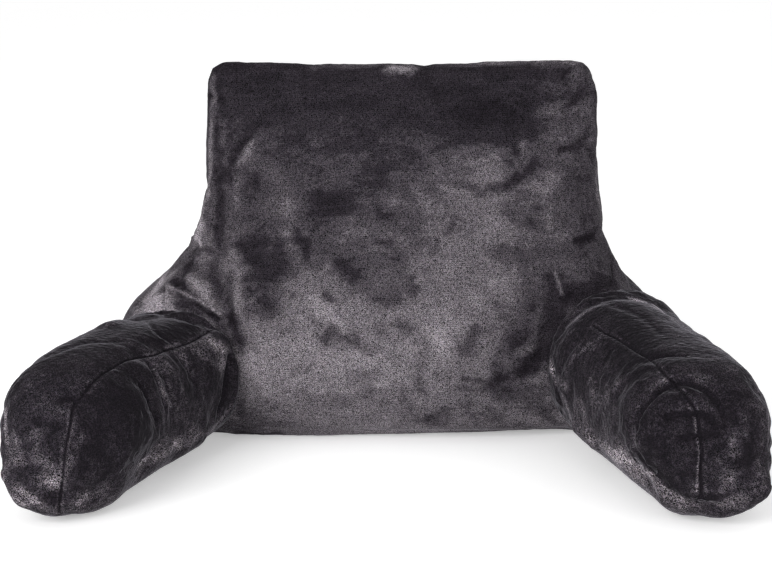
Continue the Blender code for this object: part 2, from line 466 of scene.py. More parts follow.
def smooth_line(points: Sequence[Sequence[float]], step: float) -> list[tuple[float, ...]]:
    """A line bent smoothly through its points.

    Args:
        points: The points, two or more.
        step: The length of its stretches, about.

    Returns:
        The points along the bent line.
    """
    held = [np.array(point, float) for point in points]
    held = [2 * held[0] - held[1], *held, 2 * held[-1] - held[-2]]
    line = []
    for a, b, c, d in zip(held, held[1:], held[2:], held[3:]):
        count = max(1, round(float(np.linalg.norm(c - b)) / step))
        for share in np.arange(count) / count:
            bend = (c - a) * share
            bend = bend + (2 * a - 5 * b + 4 * c - d) * share**2
            bend = bend + (3 * b - a - 3 * c + d) * share**3
            line.append(tuple(b + bend / 2))
    return [*line, tuple(held[-2])]


def distance_to_line(points: np.ndarray, line: np.ndarray) -> np.ndarray:
    """How far each point is from a line of straight stretches.

    Args:
        points: The points, one a row.
        line: The line's own points, one a row.

    Returns:
        The distances.
    """
    nearest = np.full(len(points), 1e9)
    if len(line) == 1:
        line = np.repeat(line, 2, axis=0)
    for start, end in zip(line, line[1:]):
        along = end - start
        share = np.clip((points - start) @ along / max(float(along @ along), 1e-12), 0, 1)
        reach = points - start - share[:, None] * along
        nearest = np.minimum(nearest, np.sqrt((reach * reach).sum(1)))
    return nearest


def soft_step(values: np.ndarray, low: float, high: float) -> np.ndarray:
    """From 0 at low to 1 at high, on a soft curve."""
    share = np.clip((values - low) / (high - low), 0, 1)
    return share * share * (3 - 2 * share)


def lumps(points: np.ndarray, scale: float) -> np.ndarray:
    """Soft noise from -1 to 1 at each point, with so many features a metre."""
    return np.array([noise.noise(Vector(point)) for point in points * scale])


@dataclass
class PaddedPiece:
    """One stuffed plush piece, made from its solid.

    Attributes:
        node: The solid that it stands for.
        eye: The camera that its creases and nap are placed from.
        finish: Its plush.
        neighbours: The solids that it is sewn to.
        creases: Its folds and tucks.
        strokes: Where its nap is brushed, and where light and shade are painted on it.
        voxel: The size of the cells that its cloth is cut into.
        pressure: How hard its filling pushes.
        spare: How much larger than its filling its cloth is cut.
        most_move: How far the simulation may move any point.
        evening: How many times its cloth is evened out before it is stuffed.
        seam_depth: How deep its seams are, in millimetres.
        seam_width: How wide the groove beside a seam is, in millimetres.
        seam_shade: How strong the painted shade in a seam's groove and the painted highlights on its lips
            are.
        fine_from: How squarely its cloth must face the camera to be cut finer, 1 for none.
        fill: How tight it is stuffed, from 0 to 1. Not used.
    """

    node: str
    eye: FrontCamera
    finish: PlushFinish
    neighbours: tuple[str, ...]
    creases: tuple[Crease, ...]
    strokes: tuple[Stroke, ...]
    voxel: float = 0.0045
    pressure: float = 4.0
    spare: float = 0.05
    most_move: float = 0.005
    evening: int = 0
    seam_depth: float = 3.0
    seam_width: float = 2.4
    seam_shade: float = 1.0
    fine_from: float = 1.0
    fill: float = 0.8
    obj: Optional[bpy.types.Object] = None
    tree: Optional[BVHTree] = None
    points: np.ndarray = field(default_factory=lambda: np.zeros((0, 3)))
    normals: np.ndarray = field(default_factory=lambda: np.zeros((0, 3)))

    FRAMES: ClassVar[int] = 12  # how long its cloth settles
    SPREAD: ClassVar[int] = 40  # rounds that tell its swelling from its wrinkles
    HELD_REACH: ClassVar[float] = 0.008  # how far from a neighbour its cloth is held back
    FINE_REACH: ClassVar[float] = 0.008  # how far from a line its cloth is cut finer
    SHARP_REACH: ClassVar[float] = 0.0035  # and how far it is cut finer still
    FINE_STROKE: ClassVar[float] = 4.5  # strokes thinner than this have finer cloth under them
    RAGGED: ClassVar[float] = 0.0045  # how far the edge of a stroke strays
    # The pale lips beside a seam are painted highlights, and its dark line is painted shade.
    LIP_PLACE: ClassVar[float] = 0.0034  # how far from a seam its pale lips are
    LIP_WIDTH: ClassVar[float] = 0.0018
    LINE_WIDTH: ClassVar[float] = 0.0014  # half the width of the dark line in a seam
    TUFTS: ClassVar[tuple[tuple[float, float], ...]] = ((0.35, 120), (0.25, 260))  # depth, count

    # -- mesh -------------------------------------------------------------------------------

    def start_mesh(self) -> bpy.types.Mesh:
        """A merged copy of the solid's mesh.

        Returns:
            The mesh.
        """
        bm = bmesh.new()
        bm.from_mesh(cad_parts[self.node].data)
        bmesh.ops.remove_doubles(bm, verts=bm.verts, dist=1e-5)
        data = bpy.data.meshes.new(f"plush_{self.node}")
        bm.to_mesh(data)
        bm.free()
        return data

    def baked(self) -> bpy.types.Mesh:
        """The piece's mesh with its modifiers in it."""
        graph = bpy.context.evaluated_depsgraph_get()
        return bpy.data.meshes.new_from_object(self.obj.evaluated_get(graph))

    def finish_modifiers(self) -> None:
        """Puts the piece's modifiers into its mesh."""
        done = self.baked()
        self.obj.modifiers.clear()
        old = self.obj.data
        self.obj.data = done
        bpy.data.meshes.remove(old)
        self.read()

    def read(self) -> None:
        """Reads the mesh's points and their normals."""
        data = self.obj.data
        points = np.empty(len(data.vertices) * 3, np.float32)
        data.vertices.foreach_get("co", points)
        normals = np.empty(len(data.vertices) * 3, np.float32)
        data.vertex_normals.foreach_get("vector", normals)
        self.points = points.reshape(-1, 3).astype(float)
        self.normals = normals.reshape(-1, 3).astype(float)

    def write(self) -> None:
        """Writes the points back to the mesh, none of them under the floor."""
        self.points[:, 2] = np.maximum(self.points[:, 2], 0.0)
        self.obj.data.vertices.foreach_set("co", self.points.astype(np.float32).ravel())
        self.obj.data.update()
        self.read()

    # -- cloth ------------------------------------------------------------------------------

    def freedom(self) -> np.ndarray:
        """How free each point is to move: 0 where it is sewn to a neighbour, 1 away from them."""
        free = np.ones(len(self.points))
        for name in self.neighbours:
            other = bmesh.new()
            other.from_mesh(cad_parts[name].data)
            tree = BVHTree.FromBMesh(other)
            other.free()
            box = np.array([tuple(vert.co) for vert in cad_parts[name].data.vertices])
            low, high = box.min(0) - self.HELD_REACH, box.max(0) + self.HELD_REACH
            close = np.flatnonzero(((self.points > low) & (self.points < high)).all(1))
            near = [tree.find_nearest(Vector(self.points[index]))[3] for index in close]
            free[close] *= soft_step(np.array(near), 0.001, self.HELD_REACH)
        return free

    def settle(self) -> np.ndarray:
        """Blows the cloth up against its own seams, and lets it settle.

        Returns:
            Where its points come to rest.
        """
        modifier = self.obj.modifiers.new("cloth", "CLOTH")
        settings = modifier.settings
        settings.quality = 3
        settings.mass = 0.3
        settings.tension_stiffness = 12
        settings.compression_stiffness = 8
        settings.shear_stiffness = 4
        settings.bending_stiffness = 0.3
        settings.use_pressure = True
        settings.uniform_pressure_force = self.pressure
        settings.effector_weights.gravity = 0
        settings.shrink_min = -self.spare
        settings.vertex_group_mass = "held"
        settings.pin_stiffness = 1
        modifier.collision_settings.use_collision = False
        modifier.point_cache.frame_end = self.FRAMES
        for moment in range(1, self.FRAMES + 1):
            bpy.context.scene.frame_set(moment)
        settled = self.baked()
        rest = np.empty(len(settled.vertices) * 3, np.float32)
        settled.vertices.foreach_get("co", rest)
        bpy.data.meshes.remove(settled)
        self.obj.modifiers.remove(modifier)
        bpy.context.scene.frame_set(1)
        return rest.reshape(-1, 3).astype(float)

    def spread(self, values: np.ndarray, rounds: int) -> np.ndarray:
        """Evens values out over the mesh, along its edges.

        Args:
            values: A row for each point.
            rounds: How many times each point takes the mean of its neighbours.

        Returns:
            The evened values.
        """
        edges = np.empty(len(self.obj.data.edges) * 2, np.int32)
        self.obj.data.edges.foreach_get("vertices", edges)
        one, two = edges.reshape(-1, 2).T
        count = len(values)
        joined = np.maximum(np.bincount(one, minlength=count) + np.bincount(two, minlength=count), 1)
        for _ in range(rounds):
            columns = [
                np.bincount(one, column[two], count) + np.bincount(two, column[one], count)
                for column in values.T
            ]
            values = values / 2 + np.stack(columns, 1) / joined[:, None] / 2
        return values

    def stuff(self) -> None:
        """Stuffs the piece: its cloth wrinkles as it swells, and its outline stays its solid's."""
        free = self.freedom() * soft_step(self.points[:, 2], 0.002, 0.06)
        group = self.obj.vertex_groups.new(name="held")
        for index in np.flatnonzero(free < 0.98):
            group.add([int(index)], float(1 - free[index]), "REPLACE")
        start = self.points.copy()
        move = self.settle() - start
        move -= self.spread(move, self.SPREAD)
        size = np.maximum(np.sqrt((move * move).sum(1)), 1e-9)
        move *= (self.most_move * np.tanh(size / self.most_move) / size * free)[:, None]
        self.points = start + move
        self.write()
        self.obj.vertex_groups.clear()
        LOG.info("%s wrinkled by %.1f mm at most", self.node, 1000 * float(size.max()))

    # -- lines ------------------------------------------------------------------------------

    def surface(self) -> BVHTree:
        """The piece's surface, to drop places onto."""
        faces = [tuple(polygon.vertices) for polygon in self.obj.data.polygons]
        return BVHTree.FromPolygons([Vector(point) for point in self.points], faces)

    def pinned(self, route: Sequence[Pixel], step: float = 5.0) -> np.ndarray:
        """A line of pixels, dropped onto the piece.

        Args:
            route: The line's pixels.
            step: The length of its stretches, in pixels.

        Returns:
            The line's points on the surface.
        """
        line = route if len(route) < 2 else smooth_line(route, step)
        eye = self.eye.place()
        hits = [self.tree.ray_cast(eye, self.eye.ray(spot))[0] for spot in line]
        found = [tuple(hit) for hit in hits if hit is not None]
        if not found:
            LOG.warning("%s: the line at %s misses it", self.node, route[0])
        return np.array(found, float).reshape(-1, 3)

    def near(self, places: np.ndarray, line: np.ndarray, reach: float) -> tuple[np.ndarray, np.ndarray]:
        """The places near a line, and how far from it they are.

        Args:
            places: The places.
            line: The line.
            reach: How far counts as near.

        Returns:
            The numbers of the places, and their distances.
        """
        if not len(line):
            return np.zeros(0, int), np.zeros(0)
        low, high = line.min(0) - reach, line.max(0) + reach
        chosen = np.flatnonzero(((places > low) & (places < high)).all(1))
        return chosen, distance_to_line(places[chosen], line)

    def seams(self) -> list[np.ndarray]:
        """The lines along which the piece's panels are sewn."""
        return []

    # -- relief -----------------------------------------------------------------------------

    def refine(self, lines: Sequence[np.ndarray], reach: float, front: float = 1.0) -> None:
        """Cuts the cloth finer along lines, and in front.

        Args:
            lines: The lines.
            reach: How far from them.
            front: How squarely the cloth must face the camera to be cut too, 1 for none of it.
        """
        bm = bmesh.new()
        bm.from_mesh(self.obj.data)
        bm.verts.ensure_lookup_table()
        chosen = self.normals @ np.array(self.eye.axes()[2]) > front
        for line in lines:
            index, far = self.near(self.points, line, reach)
            chosen[index[far < reach]] = True
        edges = [edge for edge in bm.edges if all(chosen[vert.index] for vert in edge.verts)]
        cut = bmesh.ops.subdivide_edges(bm, edges=edges, cuts=1, use_grid_fill=True)
        new = [item for item in cut["geom_inner"] if isinstance(item, bmesh.types.BMVert)]
        bmesh.ops.smooth_vert(
            bm, verts=new, factor=0.5, use_axis_x=True, use_axis_y=True, use_axis_z=True
        )
        bm.to_mesh(self.obj.data)
        bm.free()
        self.read()

    def relief(self, seams: Sequence[np.ndarray], folds: Sequence[np.ndarray]) -> np.ndarray:
        """How far each point is drawn in by seams, creases and pile, in millimetres.

        Args:
            seams: The seams' lines.
            folds: The creases' lines.

        Returns:
            The depth at each point.
        """
        drawn = np.zeros(len(self.points))
        for line in seams:
            index, far = self.near(self.points, line, 0.02)
            groove = self.seam_depth * np.exp(-1000 * far / self.seam_width)
            drawn[index] = np.maximum(drawn[index], groove)
        for crease, line in zip(self.creases, folds):
            width = crease.width / 1000
            index, far = self.near(self.points, line, 3 * width)
            share = far / width
            shape = np.exp(-share) if crease.sharp else np.exp(-(share**2))
            drawn[index] += crease.depth * shape
        for depth, count in self.TUFTS:
            drawn = drawn + depth * lumps(self.points, count)
        return drawn

    # -- nap --------------------------------------------------------------------------------

    def base_tone(self) -> np.ndarray:
        """The tone before the strokes are laid on."""
        return np.full(len(self.points), 0.4)

    def nap_and_painted_light(self, seams: Sequence[np.ndarray], folds: Sequence[np.ndarray]) -> np.ndarray:
        """The tone at each point, from 0, dark, to 1, pale: the nap, with painted light and shade laid
        on.

        Args:
            seams: The seams' lines.
            folds: The creases' lines.

        Returns:
            The tones.
        """
        drift = [lumps(self.points + shift, 55) + 0.6 * lumps(self.points + shift, 130)
                 for shift in (1.0, 2.0, 3.0)]
        drift = self.RAGGED * np.stack(drift, 1)
        patchy = drift[:, 0] / self.RAGGED
        seen = soft_step(self.normals @ np.array(self.eye.axes()[2]), -0.80, -0.45)
        tone = self.base_tone()
        # Strokes: the nap's patches, with painted rim sheen, painted shadow and painted bounce light
        # among them.
        for stroke in self.strokes:
            width = stroke.width / 1000
            ragged = self.points + drift * min(1.0, stroke.width / 7)
            index, far = self.near(ragged, self.pinned(stroke.route), 2 * width)
            tone[index] += stroke.tone * np.exp(-((far / width) ** 2.5)) * seen[index]
        # Painted shade in the creases, and painted highlights on those whose shade is negative.
        for crease, line in zip(self.creases, folds):
            width = crease.width / 1000
            index, far = self.near(self.points, line, 3 * width)
            tone[index] -= crease.shade * np.exp(-((far / width) ** 2))
        # Painted shade along each seam's groove, and painted highlights on its lips.
        for line in seams:
            index, far = self.near(self.points, line, 0.01)
            lip_highlights = np.exp(-(((far - self.LIP_PLACE) / self.LIP_WIDTH) ** 2))
            lip_highlights = (0.14 + 0.14 * patchy[index]) * lip_highlights
            groove_shade = 0.36 * np.exp(-((far / self.LINE_WIDTH) ** 2))
            tone[index] += self.seam_shade * (lip_highlights - groove_shade)
        return np.clip(tone, -0.15, 1.5)

    # -- build ------------------------------------------------------------------------------

    def build(self) -> bpy.types.Object:
        """Makes, stuffs, creases and dresses the piece.

        Returns:
            The finished object.
        """
        self.obj = bpy.data.objects.new(f"plush_{self.node}", self.start_mesh())
        bpy.context.scene.collection.objects.link(self.obj)
        remesh = self.obj.modifiers.new("cells", "REMESH")
        remesh.mode = "VOXEL"
        remesh.voxel_size = self.voxel
        self.finish_modifiers()
        if self.evening:
            self.points = self.spread(self.points, self.evening)
            self.write()
        self.stuff()
        finer = self.obj.modifiers.new("finer", "SUBSURF")
        finer.levels = finer.render_levels = 1
        self.finish_modifiers()
        self.tree = self.surface()
        seams = self.seams()
        folds = [self.pinned(crease.route) for crease in self.creases]
        fine = [self.pinned(item.route) for item in self.strokes if item.width < self.FINE_STROKE]
        self.refine([*seams, *folds, *fine], self.FINE_REACH, self.fine_from)
        sharp = [line for crease, line in zip(self.creases, folds) if crease.sharp]
        if self.seam_shade:
            sharp.extend(seams)
        self.refine(sharp, self.SHARP_REACH)
        tones = self.nap_and_painted_light(seams, folds)
        self.points -= self.normals * (self.relief(seams, folds) * self.freedom() / 1000)[:, None]
        self.write()
        data = self.obj.data
        data.name = self.obj.name
        tone = data.attributes.new("nap_and_painted_light", "FLOAT", "POINT")
        tone.data.foreach_set("value", tones.astype(np.float32))
        data.materials.clear()
        data.materials.append(self.finish.material())
        data.shade_smooth()
        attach(self.obj, BODY)
        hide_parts(self.node)
        return self.obj


BACKREST_CREASES = (
    # Fuller and slacker stretches of the outline.
    Crease(-3.2, 20.0, ((225, 66), (255, 66), (284, 66))),
    Crease(-2.2, 20.0, ((314, 67), (345, 66), (420, 69), (456, 66))),
    Crease(-3.8, 20.0, ((488, 65), (530, 64), (570, 64))),
    Crease(-3.5, 16.0, ((592, 95), (592, 125), (593, 138))),
    Crease(-2.4, 12.0, ((590, 82), (592, 100))),
    Crease(-1.6, 16.0, ((592, 155), (594, 185))),
    Crease(-2.6, 16.0, ((596, 212), (600, 238), (610, 258))),
    Crease(-2.6, 12.0, ((606, 252), (618, 270))),
    Crease(-3.4, 14.0, ((206, 208), (202, 222), (192, 245), (180, 260))),
    Crease(5.5, 12.0, ((154, 288), (143, 300))),
    Crease(-1.6, 12.0, ((300, 68), (322, 68))),
    Crease(-2.4, 14.0, ((385, 68), (418, 70))),
    Crease(1.6, 8.0, ((217, 71), (213, 79))),
    Crease(4.5, 18.0, ((350, 433), (400, 434), (460, 434), (520, 433), (556, 431))),
    Crease(-2.2, 14.0, ((235, 431), (262, 432))),
    # Left shoulder.
    Crease(-3.0, 3.4, ((167, 286), (188, 294), (203, 303), (221, 315)), -0.15),
    Crease(4.5, 3.0, ((168, 291), (187, 299), (202, 308), (219, 320)), 0.12, True),
    Crease(3.0, 2.2, ((163, 290), (163, 302), (162, 315)), 0.24, True),
    Crease(3.0, 4.0, ((176, 274), (184, 286), (196, 299)), 0.18),
    Crease(-2.0, 7.0, ((190, 276), (201, 290), (213, 308))),
    Crease(4.0, 8.0, ((205, 262), (213, 278), (220, 294), (229, 312)), 0.14),
    Crease(-2.5, 8.0, ((236, 254), (239, 282), (238, 312))),
    Crease(-2.0, 3.0, ((195, 239), (205, 242), (214, 247)), -0.15),
    Crease(2.5, 4.0, ((195, 246), (205, 249), (213, 253)), 0.10),
    # Left side.
    Crease(4.0, 3.5, ((206, 93), (213, 97), (222, 98)), 0.1, True),
    Crease(2.5, 8.0, ((221, 198), (219, 225), (222, 250))),
    Crease(-1.5, 6.0, ((253, 142), (243, 157), (233, 171))),
    Crease(2.5, 5.0, ((249, 137), (239, 150), (227, 168)), 0.10),
    Crease(2.0, 5.0, ((260, 173), (249, 186), (240, 190)), 0.05),
    # Along the top.
    Crease(2.5, 4.0, ((237, 63), (237, 70), (239, 82))),
    Crease(2.5, 3.0, ((259, 62), (259, 68), (260, 76)), 0.05),
    Crease(1.6, 4.0, ((305, 72), (305, 82), (306, 98)), 0.05),
    Crease(2.5, 4.0, ((428, 67), (429, 79), (436, 88), (438, 99)), 0.05),
    Crease(3.5, 3.0, ((547, 59), (546, 64), (544, 69)), 0.10, True),
    Crease(4.5, 4.0, ((581, 59), (575, 63), (568, 70), (563, 77)), 0.15, True),
    # Right side.
    Crease(3.0, 3.0, ((592, 79), (596, 88), (598, 97)), 0.2, True),
    Crease(3.0, 4.5, ((582, 92), (574, 101), (565, 110)), 0.22),
    Crease(2.0, 7.0, ((565, 119), (549, 122), (533, 127)), 0.05),
    Crease(3.0, 4.5, ((587, 138), (573, 146), (560, 151)), 0.15),
    Crease(3.0, 6.0, ((534, 163), (521, 176), (507, 185), (490, 188)), 0.15),
    Crease(1.5, 4.0, ((479, 193),), 0.2),
    Crease(1.5, 3.5, ((455, 216), (452, 226), (448, 234)), 0.2),
    Crease(3.0, 4.0, ((576, 241), (585, 239), (594, 236)), 0.2),
    Crease(-1.5, 3.0, ((555, 273), (559, 284), (562, 295)), -0.2),
    Crease(2.5, 4.0, ((612, 268), (614, 280), (608, 290)), 0.15),
    Crease(3.5, 13.0, ((492, 385), (520, 375), (533, 362), (546, 346), (556, 321))),
    # Dents in the front panel, some with painted shade.
    Crease(1.2, 3.0, ((463, 378), (472, 380), (481, 380)), 0.25),
    Crease(1.2, 3.0, ((311, 318), (319, 326)), 0.2),
    Crease(1.2, 3.0, ((306, 373), (313, 364)), 0.2),
    Crease(1.2, 3.0, ((364, 397), (374, 389)), 0.2),
    Crease(2.0, 9.0, ((341, 266), (348, 276))),
    Crease(1.8, 7.0, ((326, 340), (330, 331))),
    Crease(1.5, 5.0, ((376, 241), (388, 244))),
    Crease(1.5, 5.0, ((296, 231), (304, 245), (308, 258))),
    Crease(1.5, 5.0, ((325, 296), (330, 301))),
    Crease(1.5, 4.0, ((292, 296),)),
    Crease(2.0, 12.0, ((320, 200), (342, 205))),
    Crease(2.0, 14.0, ((258, 250), (266, 275))),
)

